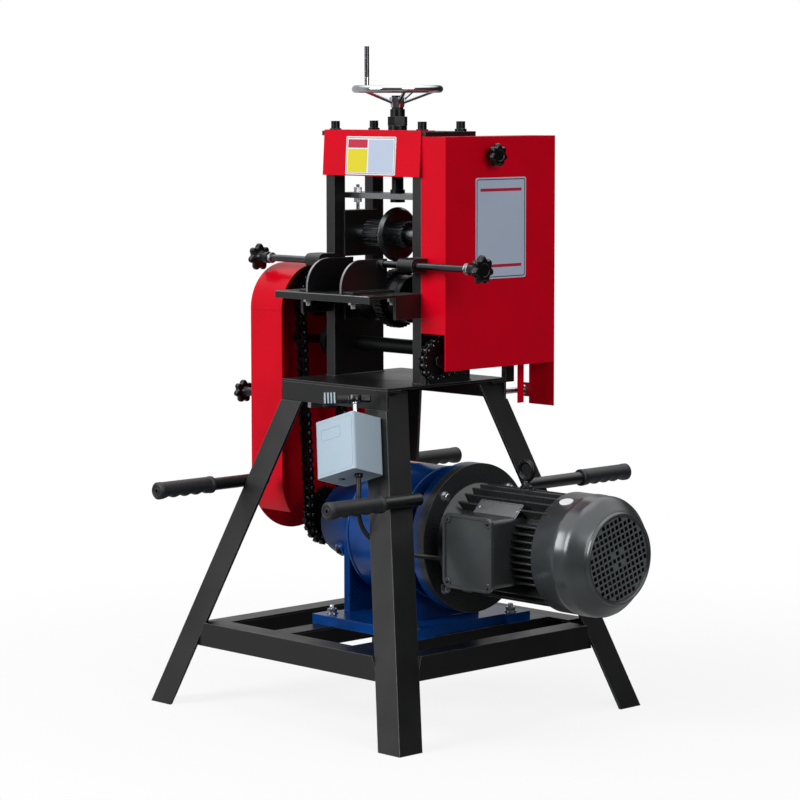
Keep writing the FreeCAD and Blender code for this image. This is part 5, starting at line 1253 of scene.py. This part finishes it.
@dataclass
class Plates:
    """Bare sign plates: coloured fields without words or signs."""

    hood_top: Point = (0, -49.5, 978)
    hood_lean: float = -3.5
    cover_x: float = 172.0
    ink: float = 0.12
    motor: Motor = field(default_factory=Motor)

    def build(self) -> None:
        """Make the hood's sign, the notice on the cover and the motor's plate."""
        self.sign()
        self.notice()
        self.tag()

    def sign(self) -> None:
        """Make the sign on the hood: a red and a yellow field beside a pale one."""
        lean = Matrix.Rotation(math.radians(self.hood_lean), 4, "X")
        shape = Shape(WHITE_PLATE, Matrix.Translation(self.hood_top) @ lean @ INFEED_FACE)
        low, high = 2.9, 2.9 + self.ink
        shape.prism(rounded(-60, -74, 60, -10, 2), 2, low)
        shape.finish = DARK_PRINT
        shape.hoop(rounded(-58, -72, 58, -12, 1.5), rounded(-57.2, -71.2, 57.2, -12.8, 1.2), low, high)
        for finish, left, bottom, right, top in ((RED_PLATE, -55, -29, -8, -15), (YELLOW_PLATE, -55, -70, -8, -31),
                                                 (BLUE_GREY_PLATE, -5, -70, 55, -15)):
            shape.finish = finish
            shape.block((left, bottom, low), (right, top, high))
        shape.piece("hood_sign", "root", 0, replaces=["blank_plates"])

    def notice(self) -> None:
        """Make the notice on the right cover: a framed field between two red lines."""
        shape = Shape(BLUE_GREY_PLATE, Matrix.Translation((self.cover_x, 0, 0)) @ RIGHT_FACE)
        shape.prism(rounded(20, 733, 140, 901, 4), 0, 0.9)
        shape.finish = DARK_PRINT
        shape.hoop(rounded(22.5, 735.5, 137.5, 898.5, 3.4), rounded(24, 737, 136, 897, 2.6), 0.9, 0.9 + self.ink)
        shape.finish = RED_PLATE
        for z in (878, 752):
            shape.block((31, z, 0.9), (129, z + 5, 1.0))
        shape.piece("cover_notice", "root", 0)

    def tag(self) -> None:
        """Make the motor's riveted plate."""
        frame = Matrix.Translation((290, self.motor.y, self.motor.z)) @ Matrix.Rotation(math.radians(45), 4, "X")
        shape = Shape(TIN_PLATE, frame)
        shape.prism(rounded(-48, -15, 48, 15, 2), 93, 94)
        shape.finish = DARK_PRINT
        shape.hoop(rounded(-46, -13.2, 46, 13.2, 1), rounded(-45, -12.2, 45, 12.2, 0.6), 94, 94.15)
        shape.finish = ZINC
        for x in (-42, 42):
            shape.frame = frame @ Matrix.Translation((x, 0, 0))
            shape.lathe([(0, 93.9), (1.8, 93.9), (1.5, 94.6), (0, 94.9)], 16)
        shape.piece("motor_plate", "root", 0)


# ---------------------------------------------------------------- chains

@dataclass
class Chain:
    """Roller chain round its sprockets: plates and pins by turns, with the rollers between them."""

    name: str
    node: str
    x: float
    pitch: float
    pulleys: tuple[tuple[float, float, int], ...]
    gap: float
    plate: float
    height: float
    waist: float = 0.7
    pin: float = 0.17
    pin_end: float = 0.9
    roller: float = 0.32

    def route(self) -> list[Vector]:
        """Pitch line round the sprockets; a negative tooth count turns the other way.

        Returns:
            Points of the closed line, in the stand's millimetres.
        """
        wheels = [(Vector((y, z)), math.copysign(self.pitch / (2 * math.sin(math.pi / abs(teeth))), teeth))
                  for y, z, teeth in self.pulleys]
        spans = []
        for (a, ra), (b, rb) in zip(wheels, wheels[1:] + wheels[:1]):
            line = b - a
            lean = math.atan2(line.y, line.x) - math.asin((rb - ra) / line.length)
            side = Vector((math.sin(lean), -math.cos(lean)))
            spans.append((a + side * ra, b + side * rb))
        spots: list[Vector] = []
        for k, (centre, radius) in enumerate(wheels):
            start, end = spans[k - 1][1] - centre, spans[k][0] - centre
            first = math.atan2(start.y, start.x)
            sweep = math.atan2(end.y, end.x) - first
            sweep = sweep % (2 * math.pi) if radius > 0 else -((-sweep) % (2 * math.pi))
            steps = max(3, int(abs(sweep) * 14))
            for turn in (first + sweep * i / steps for i in range(steps + 1)):
                spots.append(centre + Vector((math.cos(turn), math.sin(turn))) * abs(radius))
            spots += [(centre + end).lerp(spans[k][1], i / 12) for i in range(1, 12)]
        return [Vector((self.x, spot.x, spot.y)) for spot in spots]

    def link(self, low: float) -> Shape:
        """Make one pair of waisted plates.

        Args:
            low: the plates' near faces, from the middle of the chain.

        Returns:
            The pair, about the middle of the link.
        """
        half, r, high = self.pitch / 2, self.height / 2, low + self.plate / 2
        waist = r * self.waist
        outline = arc(half, 0, r, -95, 95, 10) + [(0, waist)] + arc(-half, 0, r, 85, 275, 10) + [(0, -waist)]
        shape = Shape(BLACK_STEEL, RIGHT_FACE)
        shape.prism(outline, -high, -low)
        shape.prism(outline, low, high)
        return shape

    def pins(self, reach: float, radius: float) -> Shape:
        """Make two pins, or rollers, across the chain at the ends of a link.

        Args:
            reach: half their length.
            radius: their radius.

        Returns:
            The pair, about the middle of the link.
        """
        shape = Shape(BLACK_STEEL)
        for side in (-1, 1):
            shape.frame = axes((0, side * self.pitch / 2, 0), RIGHT)
            shape.lathe([(0, -reach), (radius * 0.8, -reach), (radius, -reach + 0.5), (radius, reach - 0.5),
                         (radius * 0.8, reach), (0, reach)], 14)
        return shape

    def build(self) -> None:
        """Lay the links and the rollers along the route."""
        route, thin = self.route(), self.plate / 2
        length = sum((b - a).length for a, b in zip(route, route[1:] + route[:1]))
        count = 2 * round(length / self.pitch / 2)
        guide = bpy.data.meshes.new("chain_guide")
        guide.from_pydata(route, [(i, (i + 1) % len(route)) for i in range(len(route))], [])
        outer, inner = self.link(self.gap + thin), self.link(self.gap)
        plates = PATTERNS["path"].bake(guide, BLACK_STEEL, Even=inner.template("inner_link"),
                                       Odd=outer.template("outer_link"), Count=count)
        settle(plates, f"{self.name}_plates", "root", replaces=[self.node])
        pin = self.pins(self.gap + 2 * thin + self.pin_end, self.height * self.pin)
        roller = self.pins(self.gap, self.height * self.roller)
        rods = PATTERNS["path"].bake(guide, GROUND_STEEL, Even=roller.template("rollers"), Odd=pin.template("pins"),
                                     Count=count)
        settle(rods, f"{self.name}_pins", "root")
        LOG.info("%s: %d links on %.1f mm", self.name, count, length)


# ---------------------------------------------------------------- infeed and frame trim

@dataclass
class Trim:
    """Pale cut sheet edges that are partly painted highlights, clamp nuts, weld beads and the seam of the left cover.
    """

    guide_faces: tuple[tuple[str, float], ...] = (("left", -43.0), ("right", 39.0))
    guide_thick: float = 4.0
    under_plate: float = 702.0
    table_top: float = 560.6

    def build(self) -> None:
        """Make each kind of trim."""
        self.guide_edges()
        self.plate_edge()
        self.nuts()
        self.welds()
        self.seam()

    def guide_edges(self) -> None:
        """Make the bare cut edge round the front of each guide plate, a pale steel strip that is also a painted
        highlight.
        """
        line = [(-162.0, 712.0), (-162.0, 721.0)] + arc(-117, 721, 45, 180, 90, 18)[1:] + [(-58.0, 766.0)]
        for name, face in self.guide_faces:
            points, loops = [], []
            for (y, z), behind, ahead in zip(line, line[:1] + line, line[1:] + line[-1:]):
                run = Vector((ahead[0] - behind[0], ahead[1] - behind[1])).normalized()
                points += [(x, y - run.y * out, z + run.x * out) for out in (-0.6, 0.35)
                           for x in (face - 0.1, face + self.guide_thick + 0.1)]
            for a in range(0, 4 * (len(line) - 1), 4):
                b = a + 4
                loops += [(a, a + 1, b + 1, b), (a + 2, b + 2, b + 3, a + 3), (a, b, b + 2, a + 2),
                          (a + 1, a + 3, b + 3, b + 1)]
            # Painted highlight: the pale steel strip along the front edge stands partly for light caught there.
            shape = Shape(GROUND_STEEL)
            shape.faces(points, loops + [(0, 2, 3, 1), (b, b + 1, b + 3, b + 2)])
            shape.piece(f"guide_edge_{name}", f"{name}_guide", 0)

    @staticmethod
    def plate_edge() -> None:
        """Make the rubbed front edge of the feed plate's lip, a pale steel strip that is also a painted highlight."""
        low, high = Stand.box("feed_plate")
        # Painted highlight: the pale strip along the lip stands partly for light caught on that edge.
        shape = Shape(GROUND_STEEL)
        shape.block((low.x + 1, low.y - 0.3, high.z - 1.4), (high.x - 1, low.y + 0.6, high.z + 0.15))
        shape.piece("feed_plate_edge", "root", 0.2)

    def nuts(self) -> None:
        """Make the nuts and washers under the feed plate: one for each guide, two for the plate."""
        for name, x in (("left", -54.6), ("right", 54.6)):
            place = axes((x, -146, self.under_plate), DOWN)
            Fastener.NUT.scatter(f"guide_clamp_nut_{name}", 8.6, ZINC, [place], f"{name}_guide")
        places = [axes((x, -60, self.under_plate), DOWN) for x in (-56, 56)]
        Fastener.NUT.scatter("feed_plate_nuts", 7.5, ZINC, places)

    def welds(self) -> None:
        """Lay the weld beads where the side frames stand on the table."""
        drop = Shape(BLACK_PAINT, axes((0, 0, 0), RIGHT))
        drop.lathe([(0, -2.4), (1.3, -1.7), (1.9, 0), (1.3, 1.7), (0, 2.4)], 10)
        lines = [((x, -47), (x, 63)) for x in (-115.6, -94.4, 94.4)]
        lines += [((x, y), (x + 18, y)) for x in (-114, 96) for y in (-50.1, 66.1)]
        guide = bpy.data.meshes.new("weld_guide")
        guide.from_pydata([(*end, self.table_top) for line in lines for end in line],
                          [(2 * i, 2 * i + 1) for i in range(len(lines))], [])
        made = PATTERNS["bead"].bake(guide, BLACK_PAINT, Template=drop.template("weld_drop"), Step=2.6)
        settle(made, "weld_beads", "root")

    @staticmethod
    def seam() -> None:
        """Make the ground-down seam across the left cover's front."""
        shape = Shape(RED_ENAMEL)
        shape.block((-259.6, -95.5, 670.4), (-180.4, -94.8, 671.8))
        shape.piece("cover_seam", "root", 0.2)


KNOBS = (
    StarKnob("guide_star_left", "left_guide_screw", "guide_knob_left", (-233, -75, 758), LEFT, 23.5, 10, 20, 8.5),
    StarKnob("guide_star_right", "right_guide_screw", "guide_knob_right", (254, -75, 758), RIGHT, 23.5, 10, 20, 8.5),
    StarKnob("cover_star_right", "right_cover_knob", "cover_knob_right", (172.35, 53, 938), RIGHT, 20, 8, 12),
    StarKnob("cover_star_left", "left_cover_knob", "cover_knob_left", (-260.3, -74, 521), LEFT, 20, 8, 38),
)
CHAINS = (
    Chain("roller_drive_chain", "roller_chain", 137, 12.7,
          ((-37, 600, -14), (8, 695, 16), (8, 803, -16), (150, 640, -14)), 3.85, 3.0, 11.8),
    Chain("main_drive_chain", "main_chain", -194, 15.875, ((20, 303, 15), (8, 695, 19)), 4.8, 3.6, 14.8),
)


# ---------------------------------------------------------------- studio

def aimed(item: Object, place: Vector, aim: Vector, roll: float = 0.0) -> None:
    """Put a lamp or a camera in its place and turn it.

    Args:
        item: the lamp or the camera.
        place: where it stands, in metres.
        aim: the direction that it looks in.
        roll: its turn about that direction, in degrees.
    """
    item.location, item.rotation_mode = place, "QUATERNION"
    turn = aim.to_track_quat("-Z", "Y").to_matrix() @ Matrix.Rotation(math.radians(roll), 3, "Z")
    item.rotation_quaternion = turn.to_quaternion()


@dataclass
class Lamp:
    """A soft square lamp: place and target in stand millimetres, size in millimetres, power in watts."""

    name: str
    place: Point
    target: Point
    width: float
    power: float

    def build(self) -> None:
        """Hang the lamp."""
        data = bpy.data.lights.new(self.name, "AREA")
        data.shape, data.size, data.energy = "SQUARE", self.width * MM, self.power
        place = Stand.point(*self.place)
        aimed(show(self.name, data), place, Stand.point(*self.target) - place)


@dataclass
class Studio:
    """Camera, lamps, white surroundings and a pale floor."""

    eye: Point = (3563.1, -3432.6, 1037.0)
    azimuth: float = 45.96
    pitch: float = 5.94
    roll: float = -0.06
    lens: float = 131.9
    floor_radius: float = 9000.0
    ambient: float = 0.12
    dark_wall: float = 0.03
    # What reflections meet: axis, where the panel starts, where it is full, and its strength.
    panels: tuple[tuple[str, float, float, float], ...] = (("Z", 0.3, 0.75, 2.1), ("X", -0.3, -0.85, 0.6),
                                                           ("Z", -0.2, -0.6, 0.4))
    lamps: tuple[Lamp, ...] = (
        Lamp("key_lamp", (-900, -3900, 2300), (0, 0, 550), 2200, 174),
        Lamp("fill_lamp", (4400, -1300, 1900), (0, 0, 500), 2400, 95),
        Lamp("top_lamp", (300, 500, 4200), (0, 0, 500), 2400, 26),
    )

    def build(self) -> None:
        """Set up the view, the light and the floor."""
        scene = bpy.context.scene
        scene.view_settings.view_transform = "Standard"
        self.camera(scene)
        for lamp in self.lamps:
            lamp.build()
        self.surroundings(scene)
        self.floor()
        LOG.info("studio ready")

    def camera(self, scene: bpy.types.Scene) -> None:
        """Place the camera.

        Args:
            scene: the scene that looks through it.
        """
        data = bpy.data.cameras.new("camera")
        data.sensor_width, data.lens, data.clip_start, data.clip_end = 36.0, self.lens, 0.1, 60.0
        scene.camera = show("camera", data)
        a, p = math.radians(self.azimuth), math.radians(self.pitch)
        aim = Vector((-math.sin(a) * math.cos(p), math.cos(a) * math.cos(p), -math.sin(p)))
        aimed(scene.camera, Stand.point(*self.eye), aim, self.roll)

    def surroundings(self, scene: bpy.types.Scene) -> None:
        """Set white for the camera, softboxes for reflections and a low even light for the rest.

        Args:
            scene: the scene that gets the world.
        """
        scene.world = bpy.data.worlds.new("studio_air")
        tree = emptied(scene.world)
        path = add(tree, "ShaderNodeLightPath").outputs
        seen = path["Is Camera Ray"]
        for kind in ("Is Glossy Ray", "Is Transmission Ray"):
            seen = add(tree, "ShaderNodeMath", {0: seen, 1: path[kind]}, operation="MAXIMUM").outputs[0]
        strength = add(tree, "ShaderNodeMapRange", {"Value": seen, "To Min": self.ambient}).outputs[0]
        side = add(tree, "ShaderNodeSeparateXYZ", {0: add(tree, "ShaderNodeTexCoord").outputs["Generated"]}).outputs
        walls: Socket | float = self.dark_wall
        for axis, start, end, power in self.panels:
            panel = add(tree, "ShaderNodeMapRange", {"Value": side[axis], "From Min": start, "From Max": end,
                                                     "To Max": power}, interpolation_type="SMOOTHSTEP").outputs[0]
            walls = add(tree, "ShaderNodeMath", {0: panel, 1: walls}, operation="MAXIMUM").outputs[0]
        dim = add(tree, "ShaderNodeMix", {"Factor": path["Is Glossy Ray"], 2: 1.0, 3: walls}).outputs[0]
        final = add(tree, "ShaderNodeMath", {0: strength, 1: dim}, operation="MULTIPLY").outputs[0]
        light = add(tree, "ShaderNodeBackground", {"Color": (1, 1, 1, 1), "Strength": final})
        add(tree, "ShaderNodeOutputWorld", {"Surface": light.outputs[0]})

    def floor(self) -> None:
        """Lay a pale round floor that fades into the white surroundings."""
        mesh, form = bpy.data.meshes.new("floor"), bmesh.new()
        bmesh.ops.create_circle(form, cap_ends=True, segments=96, radius=self.floor_radius * MM)
        form.to_mesh(mesh)
        form.free()
        floor = show("floor", mesh)
        made = bpy.data.materials.new("pale_floor")
        tree = emptied(made)
        place = add(tree, "ShaderNodeTexCoord").outputs["Object"]
        far = add(tree, "ShaderNodeVectorMath", {0: place}, operation="LENGTH").outputs["Value"]
        fade = add(tree, "ShaderNodeMapRange", {"Value": far, "From Min": 0.3, "From Max": 1.5,
                                                "To Min": 0.85}).outputs[0]
        pale = add(tree, "ShaderNodeBsdfDiffuse", {"Color": linear("F6F6F6")}).outputs[0]
        clear = add(tree, "ShaderNodeBsdfTransparent").outputs[0]
        mixed = add(tree, "ShaderNodeMixShader", {0: fade, 1: pale, 2: clear}).outputs[0]
        add(tree, "ShaderNodeOutputMaterial", {"Surface": mixed})
        mesh.materials.append(made)


# ---------------------------------------------------------------- whole machine

def main() -> None:
    """Load the frame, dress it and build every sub-assembly."""
    logging.basicConfig(level=logging.INFO, format="%(message)s")
    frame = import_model()
    Stand.read()
    Studio().build()
    dress_cad(frame["nodes"])
    make_patterns()
    for part in (*KNOBS, CarryGrips(), Switch(), Motor(), Gearbox(), Plates(), *CHAINS, Trim()):
        part.build()


if __name__ == "__main__":
    main()
